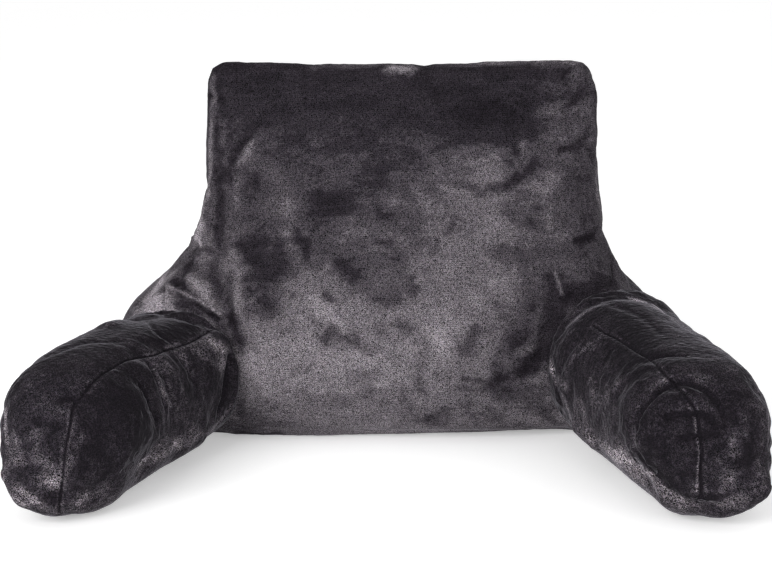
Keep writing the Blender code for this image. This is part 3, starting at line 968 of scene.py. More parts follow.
# Nap patches, with painted light and shade among them: painted rim sheen along the outline, painted shade
# in dents and folds, and painted shadow at the foot and beside the arms.
BACKREST_STROKES = (
    # Paler.
    Stroke(0.22, 24, ((446, 168), (470, 188), (496, 164))),
    Stroke(0.22, 34, ((420, 215), (455, 215), (500, 232))),
    Stroke(0.22, 32, ((450, 262), (495, 268))),
    Stroke(0.14, 24, ((440, 300), (455, 322))),
    Stroke(0.28, 6, ((252, 142), (245, 154), (239, 164))),
    # Painted rim sheen down the left edge, as are the pale strokes further down that edge.
    Stroke(0.50, 6, ((213, 78), (211, 120), (210, 160), (208, 198))),
    Stroke(0.25, 8, ((217, 110), (221, 140))),
    Stroke(0.20, 13, ((262, 168), (278, 180), (290, 205))),
    Stroke(0.20, 6, ((237, 178), (236, 206))),
    Stroke(0.35, 8, ((234, 254), (241, 268), (239, 288), (238, 314))),
    Stroke(0.30, 8, ((192, 278), (203, 292), (212, 308))),
    Stroke(0.45, 6, ((206, 203), (203, 222), (200, 240))),
    Stroke(0.60, 8, ((390, 69), (400, 71), (411, 69))),
    Stroke(0.15, 10, ((318, 68), (370, 67))),
    Stroke(0.25, 12, ((574, 82), (585, 76))),
    Stroke(0.25, 12, ((540, 112), (583, 99))),
    Stroke(0.25, 10, ((553, 137), (582, 128))),
    Stroke(0.25, 14, ((535, 190), (556, 178))),
    Stroke(0.55, 9, ((155, 299), (156, 312))),
    Stroke(0.50, 7, ((170, 297), (171, 311))),
    Stroke(0.12, 40, ((285, 340), (320, 372))),
    Stroke(0.10, 30, ((300, 300), (320, 295))),
    Stroke(0.22, 8, ((501, 387), (520, 381), (540, 377))),
    Stroke(0.30, 3, ((555, 274), (559, 284), (562, 294))),
    Stroke(0.15, 20, ((480, 300), (500, 290))),
    Stroke(0.45, 10, ((171, 274), (157, 290), (148, 306))),
    Stroke(0.35, 7, ((200, 236), (203, 224))),
    Stroke(0.20, 7, ((252, 145), (249, 165))),
    Stroke(0.20, 7, ((286, 236), (288, 246))),
    Stroke(0.15, 14, ((342, 222), (378, 236))),
    Stroke(0.22, 9, ((247, 350), (258, 378))),
    Stroke(0.20, 8, ((521, 352), (533, 346))),
    Stroke(0.20, 8, ((500, 338), (502, 346))),
    Stroke(0.12, 12, ((545, 232), (565, 240))),
    # Painted highlights along the raised left shoulder seam and its short upright seam.
    Stroke(0.35, 1.6, ((167, 286), (188, 295), (203, 304), (221, 316))),
    Stroke(0.20, 1.4, ((166, 290), (165, 302), (164, 313))),
    Stroke(0.22, 10, ((316, 300), (330, 318), (350, 328))),
    Stroke(0.20, 15, ((362, 355), (378, 367))),
    Stroke(0.22, 22, ((495, 190), (505, 216))),
    Stroke(0.10, 12, ((468, 152), (498, 162))),
    Stroke(0.20, 16, ((545, 150), (577, 165))),
    Stroke(0.25, 12, ((558, 119), (585, 112))),
    Stroke(0.22, 12, ((514, 418), (545, 424))),
    Stroke(0.40, 12, ((163, 276), (152, 290), (140, 303))),
    Stroke(0.50, 9, ((148, 304), (160, 296))),
    # Painted rim sheen along the top edge.
    Stroke(0.22, 8, ((480, 65), (530, 64), (575, 64))),
    Stroke(0.12, 8, ((345, 67), (376, 67))),
    Stroke(0.12, 9, ((540, 90), (568, 88))),
    Stroke(0.25, 8, ((608, 252), (616, 266))),
    Stroke(0.14, 8, ((546, 196), (550, 224))),
    Stroke(0.15, 6, ((562, 142), (590, 142))),
    Stroke(0.15, 6, ((594, 150), (597, 200))),
    # Painted rim sheen down the lower left edge.
    Stroke(0.30, 6, ((206, 190), (204, 208), (200, 228), (196, 244))),
    Stroke(0.20, 7, ((200, 245), (210, 262))),
    Stroke(0.12, 6, ((224, 126), (223, 160))),
    Stroke(0.16, 8, ((264, 210), (285, 216))),
    Stroke(0.12, 7, ((364, 160), (368, 166))),
    Stroke(0.22, 7, ((384, 206), (392, 202))),
    Stroke(0.30, 8, ((398, 70), (408, 74))),
    Stroke(0.15, 8, ((470, 166), (484, 170))),
    Stroke(0.36, 6, ((521, 145), (525, 158), (522, 170))),
    Stroke(0.08, 10, ((544, 206), (554, 224))),
    Stroke(0.12, 10, ((528, 200), (540, 215))),
    Stroke(0.26, 9, ((556, 62), (574, 66))),
    # Painted rim sheen down the right edge.
    Stroke(0.16, 8, ((590, 90), (592, 140))),
    Stroke(0.25, 5, ((597, 190), (599, 208))),
    Stroke(0.28, 6, ((245, 294), (251, 302))),
    Stroke(0.12, 6, ((272, 290), (276, 308))),
    Stroke(0.26, 7, ((413, 272), (416, 280))),
    Stroke(0.16, 10, ((468, 292), (478, 300))),
    Stroke(0.08, 14, ((506, 286), (512, 300))),
    Stroke(0.24, 9, ((438, 338), (446, 352))),
    Stroke(0.12, 12, ((416, 330), (436, 334))),
    Stroke(0.20, 5, ((378, 386), (386, 384))),
    Stroke(0.12, 12, ((266, 372), (270, 392))),
    Stroke(0.12, 14, ((340, 238), (362, 246))),
    # Darker.
    Stroke(-0.22, 6, ((216, 228), (216, 244))),
    Stroke(-0.20, 7, ((188, 266), (196, 274))),
    Stroke(-0.14, 9, ((230, 280), (232, 300))),
    Stroke(-0.15, 8, ((240, 284), (242, 296))),
    # Painted shade in the fold below the left shoulder seam.
    Stroke(-0.22, 6, ((174, 282), (196, 296))),
    Stroke(-0.18, 6, ((440, 178), (458, 184), (480, 192))),
    Stroke(-0.20, 5, ((350, 284), (351, 290))),
    Stroke(-0.12, 8, ((334, 338), (344, 342))),
    Stroke(-0.14, 7, ((408, 324), (424, 336))),
    Stroke(-0.10, 14, ((302, 370), (328, 384))),
    Stroke(-0.14, 8, ((304, 262), (318, 268))),
    Stroke(-0.15, 8, ((548, 281), (600, 284))),
    Stroke(-0.14, 7, ((496, 306), (502, 314))),
    Stroke(-0.10, 10, ((532, 136), (552, 148))),
    Stroke(-0.14, 9, ((490, 250), (506, 262))),
    Stroke(-0.12, 9, ((282, 310), (290, 322))),
    Stroke(-0.14, 9, ((464, 388), (468, 404))),
    Stroke(-0.14, 9, ((532, 398), (540, 412))),
    Stroke(-0.12, 9, ((430, 424), (446, 424))),
    Stroke(-0.12, 9, ((526, 196), (545, 206))),
    # Painted shade in the fold below the left shoulder seam.
    Stroke(-0.30, 4, ((170, 297), (176, 306))),
    Stroke(-0.26, 6, ((212, 314), (222, 328), (232, 340))),
    # Painted shadow cast by the left arm's tip.
    Stroke(-0.22, 5, ((242, 392), (241, 415))),
    Stroke(-0.20, 14, ((304, 400), (318, 404))),
    Stroke(-0.15, 7, ((352, 322), (354, 336))),
    Stroke(-0.14, 7, ((366, 350), (376, 352))),
    Stroke(-0.20, 8, ((406, 394), (410, 408))),
    Stroke(-0.22, 7, ((494, 364), (502, 368))),
    Stroke(-0.22, 10, ((500, 396), (522, 394))),
    Stroke(-0.14, 8, ((524, 374), (536, 372))),
    Stroke(-0.16, 8, ((546, 414), (556, 424))),
    Stroke(-0.10, 8, ((531, 282), (529, 300), (522, 314))),
    Stroke(-0.16, 5, ((510, 345), (520, 342))),
    Stroke(-0.28, 5, ((504, 158), (509, 164))),
    Stroke(-0.15, 8, ((504, 208), (514, 220))),
    Stroke(-0.18, 6, ((484, 190), (497, 192))),
    Stroke(-0.20, 6, ((406, 190), (412, 200))),
    Stroke(-0.12, 8, ((438, 152), (452, 172), (472, 186))),
    Stroke(-0.12, 8, ((458, 224), (472, 226))),
    # Painted shadow along the foot, where the underside curves away.
    Stroke(-0.60, 7, ((216, 431), (240, 433), (278, 433))),
    Stroke(-0.22, 9, ((217, 179), (229, 176))),
    Stroke(-0.28, 13, ((386, 212), (414, 214))),
    Stroke(-0.20, 12, ((412, 228), (424, 240))),
    Stroke(-0.14, 10, ((340, 184), (372, 194))),
    Stroke(-0.16, 15, ((250, 210), (275, 222))),
    Stroke(-0.18, 16, ((305, 216), (332, 222))),
    Stroke(-0.18, 13, ((312, 246), (356, 252))),
    Stroke(-0.22, 8, ((239, 248), (242, 262))),
    Stroke(-0.28, 12, ((281, 250), (287, 272))),
    Stroke(-0.26, 7, ((245, 279), (246, 296))),
    Stroke(-0.42, 13, ((243, 311), (258, 308), (270, 311))),
    Stroke(-0.15, 11, ((281, 334), (288, 337))),
    Stroke(-0.50, 8, ((231, 318), (237, 333), (240, 350))),
    Stroke(-0.22, 6, ((212, 312), (217, 318))),
    Stroke(-0.36, 10, ((194, 256), (184, 273), (179, 292))),
    Stroke(-0.26, 10, ((357, 277), (370, 292), (396, 297))),
    Stroke(-0.12, 10, ((432, 282), (436, 300))),
    Stroke(-0.28, 13, ((405, 420), (425, 420))),
    Stroke(-0.12, 10, ((430, 410), (480, 405))),
    Stroke(-0.15, 12, ((522, 366), (545, 358))),
    Stroke(-0.15, 30, ((478, 112), (508, 125))),
    Stroke(-0.22, 7, ((514, 152), (524, 158), (521, 173), (508, 184))),
    Stroke(-0.18, 7, ((493, 188), (505, 186))),
    Stroke(-0.22, 8, ((345, 338), (358, 345))),
    Stroke(-0.16, 14, ((250, 266), (272, 276))),
    Stroke(-0.20, 9, ((563, 296), (588, 285), (612, 284))),
    Stroke(-0.20, 9, ((430, 420), (443, 412))),
    Stroke(-0.12, 9, ((368, 400), (384, 400))),
    Stroke(-0.15, 7, ((213, 317), (222, 328))),
    # Painted shade in the front panel's dents, among dark nap patches.
    Stroke(-0.36, 22, ((256, 250), (267, 275))),
    Stroke(-0.22, 14, ((252, 292), (270, 298))),
    Stroke(-0.32, 16, ((320, 200), (343, 206))),
    Stroke(-0.16, 18, ((372, 170), (380, 176))),
    Stroke(-0.34, 11, ((341, 265), (349, 278))),
    Stroke(-0.30, 6, ((376, 241), (388, 244))),
    Stroke(-0.28, 6, ((296, 231), (304, 245), (308, 258))),
    Stroke(-0.34, 4, ((292, 296),)),
    Stroke(-0.40, 6, ((325, 296), (330, 301))),
    Stroke(-0.28, 7, ((380, 301), (384, 304))),
    Stroke(-0.28, 7, ((411, 282), (415, 291))),
    Stroke(-0.42, 8, ((326, 339), (331, 331))),
    Stroke(-0.25, 6, ((357, 335), (359, 341))),
    Stroke(-0.22, 8, ((374, 330), (381, 331))),
    Stroke(-0.22, 5, ((365, 350), (370, 355))),
    Stroke(-0.22, 8, ((400, 325), (410, 330))),
    Stroke(-0.20, 9, ((352, 381), (366, 378), (379, 370))),
    Stroke(-0.15, 9, ((335, 400), (348, 401))),
    Stroke(-0.22, 4, ((266, 401),)),
    Stroke(-0.18, 5, ((276, 406),)),
    Stroke(-0.25, 8, ((243, 338), (253, 349))),
    Stroke(-0.20, 6, ((422, 352), (422, 367))),
    Stroke(-0.22, 8, ((419, 376), (420, 389))),
    Stroke(-0.26, 9, ((475, 330), (469, 342), (466, 350))),
    Stroke(-0.22, 8, ((496, 368), (501, 378))),
    # Painted shadow beside the right arm's root, over dark nap.
    Stroke(-0.42, 14, ((497, 386), (520, 375), (533, 362), (546, 346), (556, 321))),
    Stroke(-0.28, 13, ((506, 349), (514, 340), (524, 334))),
    Stroke(-0.24, 14, ((556, 280), (556, 306))),
    Stroke(-0.40, 11, ((572, 298), (602, 297))),
    Stroke(-0.22, 11, ((505, 250), (517, 258))),
    Stroke(-0.18, 6, ((537, 208),)),
    Stroke(-0.15, 9, ((508, 212), (530, 225))),
    Stroke(-0.20, 7, ((578, 241), (592, 237))),
    Stroke(-0.20, 6, ((393, 256), (403, 256))),
    Stroke(-0.20, 6, ((254, 174), (258, 184))),
    Stroke(-0.18, 8, ((246, 138), (232, 158))),
    Stroke(-0.15, 12, ((217, 105), (218, 150), (219, 190))),
    Stroke(-0.22, 9, ((219, 203), (221, 247))),
    Stroke(-0.30, 9, ((210, 268), (221, 294), (232, 322))),
    # Painted shadow of the flap below the left shoulder seam.
    Stroke(-0.55, 11, ((182, 304), (205, 311))),
    Stroke(-0.35, 5, ((172, 280), (176, 286))),
    Stroke(-0.25, 6, ((197, 247), (209, 251))),
    # Painted shade along the lower left foot, where the underside curves away.
    Stroke(-0.35, 16, ((222, 424), (250, 430))),
    Stroke(-0.25, 26, ((250, 422), (300, 430))),
    Stroke(-0.15, 22, ((575, 160), (585, 230), (600, 270))),
    Stroke(0.60, 9, ((146, 296), (156, 286), (162, 278))),
    Stroke(0.60, 7, ((150, 309), (160, 307))),
    Stroke(-0.24, 4, ((170, 303), (172, 308))),
    Stroke(0.60, 6, ((197, 233), (200, 244))),
    Stroke(0.14, 6, ((196, 258), (208, 268), (214, 276))),
    Stroke(-0.16, 4, ((190, 275), (197, 278))),
    Stroke(0.20, 6, ((440, 66), (470, 67), (500, 65), (536, 63))),
    Stroke(0.26, 7, ((532, 63), (544, 66))),
    Stroke(0.24, 5, ((588, 74), (591, 86))),
    Stroke(0.22, 6, ((392, 70), (398, 76))),
    Stroke(-0.18, 6, ((531, 304), (531, 318))),
    # Painted rim sheen down the right edge.
    Stroke(0.14, 7, ((596, 168), (597, 200))),
    Stroke(0.16, 8, ((508, 258), (516, 270))),
    # Painted shadow along the foot, where the underside curves away.
    Stroke(-0.50, 5, ((238, 431), (266, 433))),
    Stroke(0.36, 6, ((562, 408), (564, 420))),
)

LEFT_ARM_CREASES = (
    Crease(-4.4, 36.0, ((21, 383), (33, 371), (56, 354), (79, 341), (104, 330))),
    Crease(11.5, 30.0, ((101, 502), (113, 495), (126, 485), (138, 476), (150, 468))),
    Crease(-3.5, 12.0, ((110, 328), (121, 321))),
    Crease(2.0, 16.0, ((4, 400), (3, 425), (4, 440))),
    Crease(-7.0, 16.0, ((9, 478), (20, 498))),
    Crease(-6.0, 20.0, ((184, 448), (198, 440))),
    Crease(6.0, 18.0, ((136, 318), (157, 314), (181, 314), (205, 320))),
    Crease(6.0, 12.0, ((143, 312), (157, 310), (175, 312), (190, 316))),
    Crease(3.0, 3.0, ((60, 401), (66, 398), (75, 399)), 0.25, True),
    Crease(2.5, 4.0, ((175, 350), (187, 368), (199, 387)), 0.12),
    Crease(2.5, 4.0, ((148, 362), (157, 380), (166, 407)), 0.12),
    Crease(2.5, 4.0, ((140, 385), (148, 402), (156, 418)), 0.12),
    Crease(-1.5, 4.0, ((163, 358), (176, 378), (187, 400)), -0.08),
    Crease(-1.5, 4.0, ((156, 372), (163, 390), (170, 405)), -0.10),
    Crease(5.0, 5.0, ((231, 356), (227, 378), (224, 398), (220, 412)), 0.12),
    Crease(-2.0, 5.0, ((237, 366), (236, 390), (231, 408), (222, 420))),
    Crease(1.8, 4.0, ((146, 318), (157, 333), (176, 345)), 0.08),
    Crease(1.5, 3.0, ((20, 484), (29, 499)), 0.15),
    Crease(1.5, 3.0, ((30, 490), (38, 507)), 0.15),
    Crease(1.5, 3.0, ((42, 500), (46, 512)), 0.10),
    Crease(-1.0, 5.0, ((66, 405), (52, 420), (45, 432))),
    Crease(-1.0, 5.0, ((82, 402), (92, 418), (96, 436))),
    Crease(1.5, 6.0, ((78, 408), (84, 424), (84, 442))),
    Crease(-1.2, 6.0, ((118, 351), (131, 342), (144, 336))),
    Crease(1.2, 6.0, ((48, 360), (84, 346), (118, 342))),
)

# Nap patches, with painted rim sheen along the outline among them.
LEFT_ARM_STROKES = (
    Stroke(0.34, 13, ((195, 346), (212, 340), (226, 350))),
    Stroke(0.22, 8, ((206, 333), (216, 330))),
    Stroke(0.25, 4, ((181, 356), (193, 374))),
    Stroke(0.28, 5, ((156, 372), (163, 390), (170, 406))),
    Stroke(0.20, 4, ((168, 382), (178, 408))),
    Stroke(0.30, 9, ((152, 464), (159, 453), (168, 441))),
    Stroke(0.24, 10, ((176, 444), (206, 432))),
    Stroke(0.42, 11, ((42, 458), (50, 470), (55, 484))),
    Stroke(0.22, 7, ((72, 458), (76, 450), (81, 440))),
    Stroke(0.30, 10, ((148, 469), (162, 458), (178, 444))),
    # Painted rim sheen along the left outline.
    Stroke(0.42, 6, ((6, 442), (12, 460))),
    Stroke(0.28, 8, ((33, 440), (45, 431))),
    Stroke(0.38, 8, ((19, 484), (42, 508))),
    Stroke(0.28, 8, ((67, 496), (86, 499))),
    Stroke(0.35, 4, ((212, 429), (222, 418), (231, 406))),
    Stroke(0.12, 5, ((121, 350), (132, 342), (143, 337))),
    Stroke(0.08, 6, ((60, 355), (90, 343), (118, 340))),
    Stroke(0.25, 2.5, ((141, 315), (163, 314), (184, 315))),
    Stroke(0.10, 8, ((70, 375), (92, 372))),
    Stroke(0.12, 10, ((20, 395), (34, 384))),
    Stroke(0.40, 9, ((14, 438), (20, 458))),
    # Painted rim sheen along the left outline.
    Stroke(0.40, 5, ((5, 405), (5, 436))),
    Stroke(0.35, 8, ((24, 489), (35, 500))),
    Stroke(0.28, 8, ((78, 508), (98, 500))),
    Stroke(0.15, 6, ((61, 408), (73, 424))),
    Stroke(0.18, 12, ((150, 353), (170, 362), (181, 380))),
    Stroke(0.40, 8, ((213, 343), (219, 356), (224, 366))),
    Stroke(0.15, 9, ((172, 347), (184, 345))),
    Stroke(0.20, 7, ((38, 482), (60, 480))),
    Stroke(0.12, 9, ((80, 388), (92, 384))),
    Stroke(0.16, 8, ((178, 416), (198, 434))),
    Stroke(0.34, 8, ((220, 346), (225, 360), (222, 368))),
    Stroke(0.14, 9, ((146, 362), (170, 370))),
    Stroke(0.14, 6, ((68, 466), (74, 476))),
    # Painted rim sheen along the left outline.
    Stroke(0.36, 6, ((6, 388), (4, 405), (4, 424))),
    Stroke(0.34, 7, ((6, 474), (14, 490), (26, 503))),
    Stroke(0.24, 7, ((174, 432), (177, 446))),
    # Painted rim sheen along the top outline.
    Stroke(0.20, 6, ((76, 343), (100, 333), (118, 327))),
    Stroke(-0.22, 6, ((18, 388), (24, 396))),
    Stroke(-0.30, 8, ((38, 424), (50, 430))),
    Stroke(-0.20, 12, ((144, 420), (146, 452))),
    Stroke(-0.15, 9, ((178, 332), (160, 340))),
    Stroke(0.24, 9, ((204, 358), (220, 366))),
    Stroke(0.10, 14, ((50, 392), (96, 386))),
    Stroke(0.18, 5, ((70, 428), (65, 449), (62, 474))),
    Stroke(0.20, 9, ((208, 342), (226, 350))),
    Stroke(-0.12, 8, ((140, 324), (182, 324))),
    Stroke(-0.10, 9, ((86, 452), (98, 456))),
    Stroke(-0.20, 6, ((192, 442), (206, 437))),
    Stroke(-0.30, 9, ((42, 498), (62, 496), (82, 496))),
    Stroke(-0.14, 34, ((95, 402), (100, 450))),
    Stroke(-0.16, 15, ((120, 406), (142, 400), (140, 436))),
    Stroke(-0.20, 8, ((75, 452), (79, 468))),
    Stroke(-0.22, 8, ((14, 386), (30, 374))),
    Stroke(-0.18, 6, ((46, 506), (53, 504))),
    Stroke(-0.10, 14, ((130, 332), (200, 330))),
    Stroke(-0.15, 8, ((226, 375), (224, 400))),
    Stroke(-0.15, 8, ((186, 392), (199, 397))),
    Stroke(-0.34, 9, ((132, 325), (148, 325), (172, 326))),
    Stroke(-0.14, 9, ((142, 420), (138, 445))),
    Stroke(-0.16, 8, ((150, 434), (137, 455))),
    Stroke(0.16, 7, ((150, 466), (166, 456))),
    Stroke(0.20, 7, ((9, 468), (14, 486), (22, 498))),
    Stroke(0.16, 7, ((36, 458), (46, 460))),
    Stroke(0.14, 6, ((68, 462), (70, 474))),
    Stroke(-0.12, 7, ((100, 484), (112, 472))),
    # Painted rim sheen along the left outline.
    Stroke(0.24, 5, ((6, 400), (4, 425), (5, 455), (8, 478))),
    Stroke(-0.30, 6, ((188, 444), (200, 436))),
    Stroke(0.14, 9, ((140, 362), (152, 368))),
    Stroke(0.12, 9, ((178, 346), (186, 352))),
)

RIGHT_ARM_CREASES = (
    Crease(-3.0, 26.0, ((702, 339), (713, 348), (725, 357), (737, 367))),
    Crease(9.0, 26.0, ((646, 295), (656, 298), (667, 305), (679, 316))),
    Crease(12.5, 34.0, ((632, 476), (643, 485), (655, 494), (667, 502), (678, 509))),
    Crease(7.5, 16.0, ((714, 513), (732, 510), (744, 506))),
    Crease(-6.0, 16.0, ((578, 428), (592, 441))),
    Crease(2.0, 12.0, ((748, 378), (756, 390))),
    Crease(-13.0, 20.0, ((748, 502), (758, 489))),
    Crease(5.0, 15.0, ((563, 324), (580, 308), (603, 298), (622, 294))),
    Crease(2.5, 3.0, ((651, 358), (667, 356), (685, 356)), 0.2),
    Crease(
        4.0, 4.5,
        ((636, 427), (639, 415), (648, 403), (661, 390), (672, 384), (687, 383), (699, 387),
         (709, 393), (717, 404), (723, 417), (725, 427)), 0.30,
    ),
    Crease(3.5, 4.0, ((667, 417), (679, 414), (693, 413), (704, 415), (712, 420), (715, 427)), 0.28),
    Crease(2.5, 3.5, ((678, 439), (691, 437), (707, 435), (720, 435)), 0.25),
    Crease(-2.0, 4.0, ((648, 395), (660, 383), (672, 377), (688, 376), (702, 380)), -0.05),
    Crease(-1.5, 4.0, ((655, 412), (668, 402), (690, 399), (706, 403))),
    Crease(2.5, 6.0, ((632, 430), (632, 448), (640, 468), (655, 488))),
    Crease(2.5, 5.0, ((552, 366), (556, 388), (561, 404)), 0.08),
    Crease(1.5, 5.0, ((575, 345), (566, 358), (560, 372))),
    Crease(1.2, 6.0, ((612, 350), (600, 372), (597, 392))),
    Crease(-1.2, 6.0, ((628, 365), (616, 384), (610, 402))),
    Crease(1.2, 6.0, ((612, 305), (640, 316), (660, 334))),
)

# Nap patches, with painted light and shade among them: painted rim sheen along the outline, painted
# bounce light on the lower rim, and painted shade in the folds round the tip.
RIGHT_ARM_STROKES = (
    # Painted bounce light along the lower left rim, where the floor shades it.
    Stroke(0.24, 14, ((573, 412), (595, 432), (616, 451), (634, 468))),
    Stroke(0.20, 8, ((576, 424), (590, 438), (608, 453), (632, 474), (655, 491), (676, 503))),
    Stroke(0.10, 9, ((628, 466), (640, 479))),
    Stroke(-0.34, 8, ((636, 456), (650, 472), (662, 485), (674, 495), (684, 503))),
    Stroke(0.15, 14, ((704, 384), (716, 410))),
    # Painted rim sheen down the right edge.
    Stroke(0.16, 8, ((757, 386), (764, 430), (762, 480))),
    Stroke(0.20, 6, ((630, 430), (634, 444))),
    Stroke(0.14, 9, ((594, 414), (608, 430))),
    Stroke(0.10, 5, ((650, 388), (666, 380))),
    # Painted highlight: the pale lip beside the tip seam.
    Stroke(0.40, 1.6, ((695, 418), (697, 435), (699, 455), (698, 475), (699, 495))),
    Stroke(-0.32, 7, ((706, 503), (724, 501))),
    Stroke(-0.24, 7, ((746, 490), (750, 494))),
    Stroke(-0.14, 7, ((686, 344), (712, 352), (738, 362))),
    Stroke(-0.12, 8, ((636, 350), (654, 360))),
    Stroke(0.12, 16, ((590, 396), (612, 420))),
    Stroke(0.45, 6, ((547, 360), (552, 370))),
    Stroke(0.45, 7, ((557, 376), (566, 388))),
    Stroke(0.32, 8, ((571, 320), (590, 309))),
    Stroke(0.28, 8, ((628, 300), (652, 306))),
    Stroke(0.14, 16, ((668, 322), (700, 347), (728, 370))),
    Stroke(0.45, 9, ((724, 488), (730, 480), (738, 472))),
    Stroke(0.18, 7, ((727, 440), (736, 452))),
    Stroke(0.20, 10, ((755, 474), (752, 492))),
    Stroke(0.12, 11, ((579, 424), (606, 450), (630, 472))),
    Stroke(0.32, 7, ((566, 326), (580, 313), (601, 303))),
    # Painted rim sheen along the top outline.
    Stroke(0.40, 8, ((638, 297), (663, 310), (688, 329))),
    Stroke(0.40, 6, ((551, 361), (556, 386))),
    Stroke(0.50, 8, ((563, 398), (572, 420))),
    Stroke(0.18, 8, ((727, 425), (742, 435))),
    Stroke(0.18, 7, ((756, 448), (757, 464))),
    Stroke(0.25, 6, ((722, 512), (742, 506))),
    Stroke(0.20, 6, ((631, 446), (634, 454))),
    Stroke(0.15, 10, ((688, 365), (704, 376))),
    Stroke(0.15, 8, ((586, 346), (600, 346))),
    Stroke(0.15, 7, ((606, 386), (614, 408))),
    Stroke(0.32, 10, ((714, 507), (742, 496))),
    Stroke(0.22, 7, ((690, 484), (694, 492))),
    # Painted rim sheen down the right edge.
    Stroke(0.30, 4, ((768, 400), (768, 440))),
    # Painted rim sheen along the top outline.
    Stroke(0.34, 9, ((640, 294), (664, 306), (690, 326))),
    Stroke(0.24, 7, ((690, 330), (712, 344), (732, 358))),
    Stroke(0.25, 6, ((558, 322), (572, 312), (586, 305))),
    Stroke(0.30, 6, ((549, 366), (555, 384))),
    Stroke(0.36, 6, ((562, 406), (566, 420))),
    Stroke(0.22, 5, ((580, 400), (585, 410))),
    Stroke(0.28, 6, ((746, 422), (748, 438))),
    Stroke(0.14, 8, ((678, 344), (684, 356))),
    # Painted rim sheen down the right edge.
    Stroke(0.22, 6, ((770, 420), (769, 450), (766, 480))),
    Stroke(-0.22, 8, ((684, 478), (688, 492))),
    Stroke(-0.24, 7, ((686, 503), (696, 503))),
    Stroke(-0.28, 7, ((722, 486), (730, 494))),
    Stroke(-0.22, 8, ((700, 458), (718, 450))),
    Stroke(-0.18, 8, ((734, 462), (738, 476))),
    Stroke(-0.14, 10, ((624, 366), (640, 382))),
    # Painted shade in the folds round the tip.
    Stroke(-0.45, 1.8, ((637, 426), (640, 415), (649, 403), (662, 390), (673, 384), (688, 383),
                        (700, 387), (710, 393), (718, 404), (724, 417))),
    Stroke(-0.45, 1.8, ((668, 417), (680, 414), (694, 413), (705, 415), (713, 420))),
    Stroke(-0.40, 1.6, ((679, 439), (692, 437), (708, 435), (720, 435))),
    Stroke(0.20, 2.0, ((668, 412), (680, 409), (694, 408), (706, 410))),
    Stroke(-0.16, 18, ((630, 318), (645, 362))),
    Stroke(-0.16, 8, ((641, 420), (648, 446))),
    Stroke(-0.28, 8, ((722, 402), (733, 420))),
    Stroke(-0.30, 9, ((746, 430), (752, 456))),
    Stroke(-0.22, 6, ((741, 460), (744, 474))),
    Stroke(0.12, 6, ((716, 458), (724, 462))),
    Stroke(-0.30, 8, ((702, 505), (716, 501))),
    Stroke(-0.15, 8, ((640, 374), (652, 368))),
    Stroke(0.10, 4, ((640, 404), (654, 391), (667, 382))),
    Stroke(0.16, 8, ((608, 366), (618, 380))),
    Stroke(0.12, 4, ((556, 347), (570, 333))),
    Stroke(0.14, 4, ((565, 372), (574, 356))),
    Stroke(0.10, 8, ((590, 385), (600, 402))),
    Stroke(-0.20, 7, ((552, 392), (561, 411))),
    Stroke(-0.10, 24, ((660, 450), (686, 475))),
    Stroke(-0.15, 8, ((625, 425), (632, 450), (640, 470))),
    # Painted bounce light on the lower rim, where the floor shades it.
    Stroke(0.50, 24, ((616, 463), (632, 478), (643, 487), (655, 496), (667, 504))),
    Stroke(-0.44, 10, ((626, 460), (640, 472), (655, 485), (669, 498))),
    # Painted rim sheen along the top outline.
    Stroke(0.40, 16, ((640, 294), (652, 298), (663, 304), (674, 313))),
    Stroke(0.34, 6, ((650, 297), (660, 302), (670, 310))),
    Stroke(0.40, 9, ((634, 293), (648, 297), (660, 304), (672, 312))),
    Stroke(-0.12, 9, ((596, 432), (612, 446))),
    Stroke(0.20, 7, ((578, 402), (584, 414))),
    Stroke(0.22, 5, ((577, 355), (588, 346), (603, 334))),
    Stroke(0.18, 5, ((607, 394), (618, 383), (632, 371))),
    Stroke(0.12, 7, ((655, 372), (668, 386))),
)


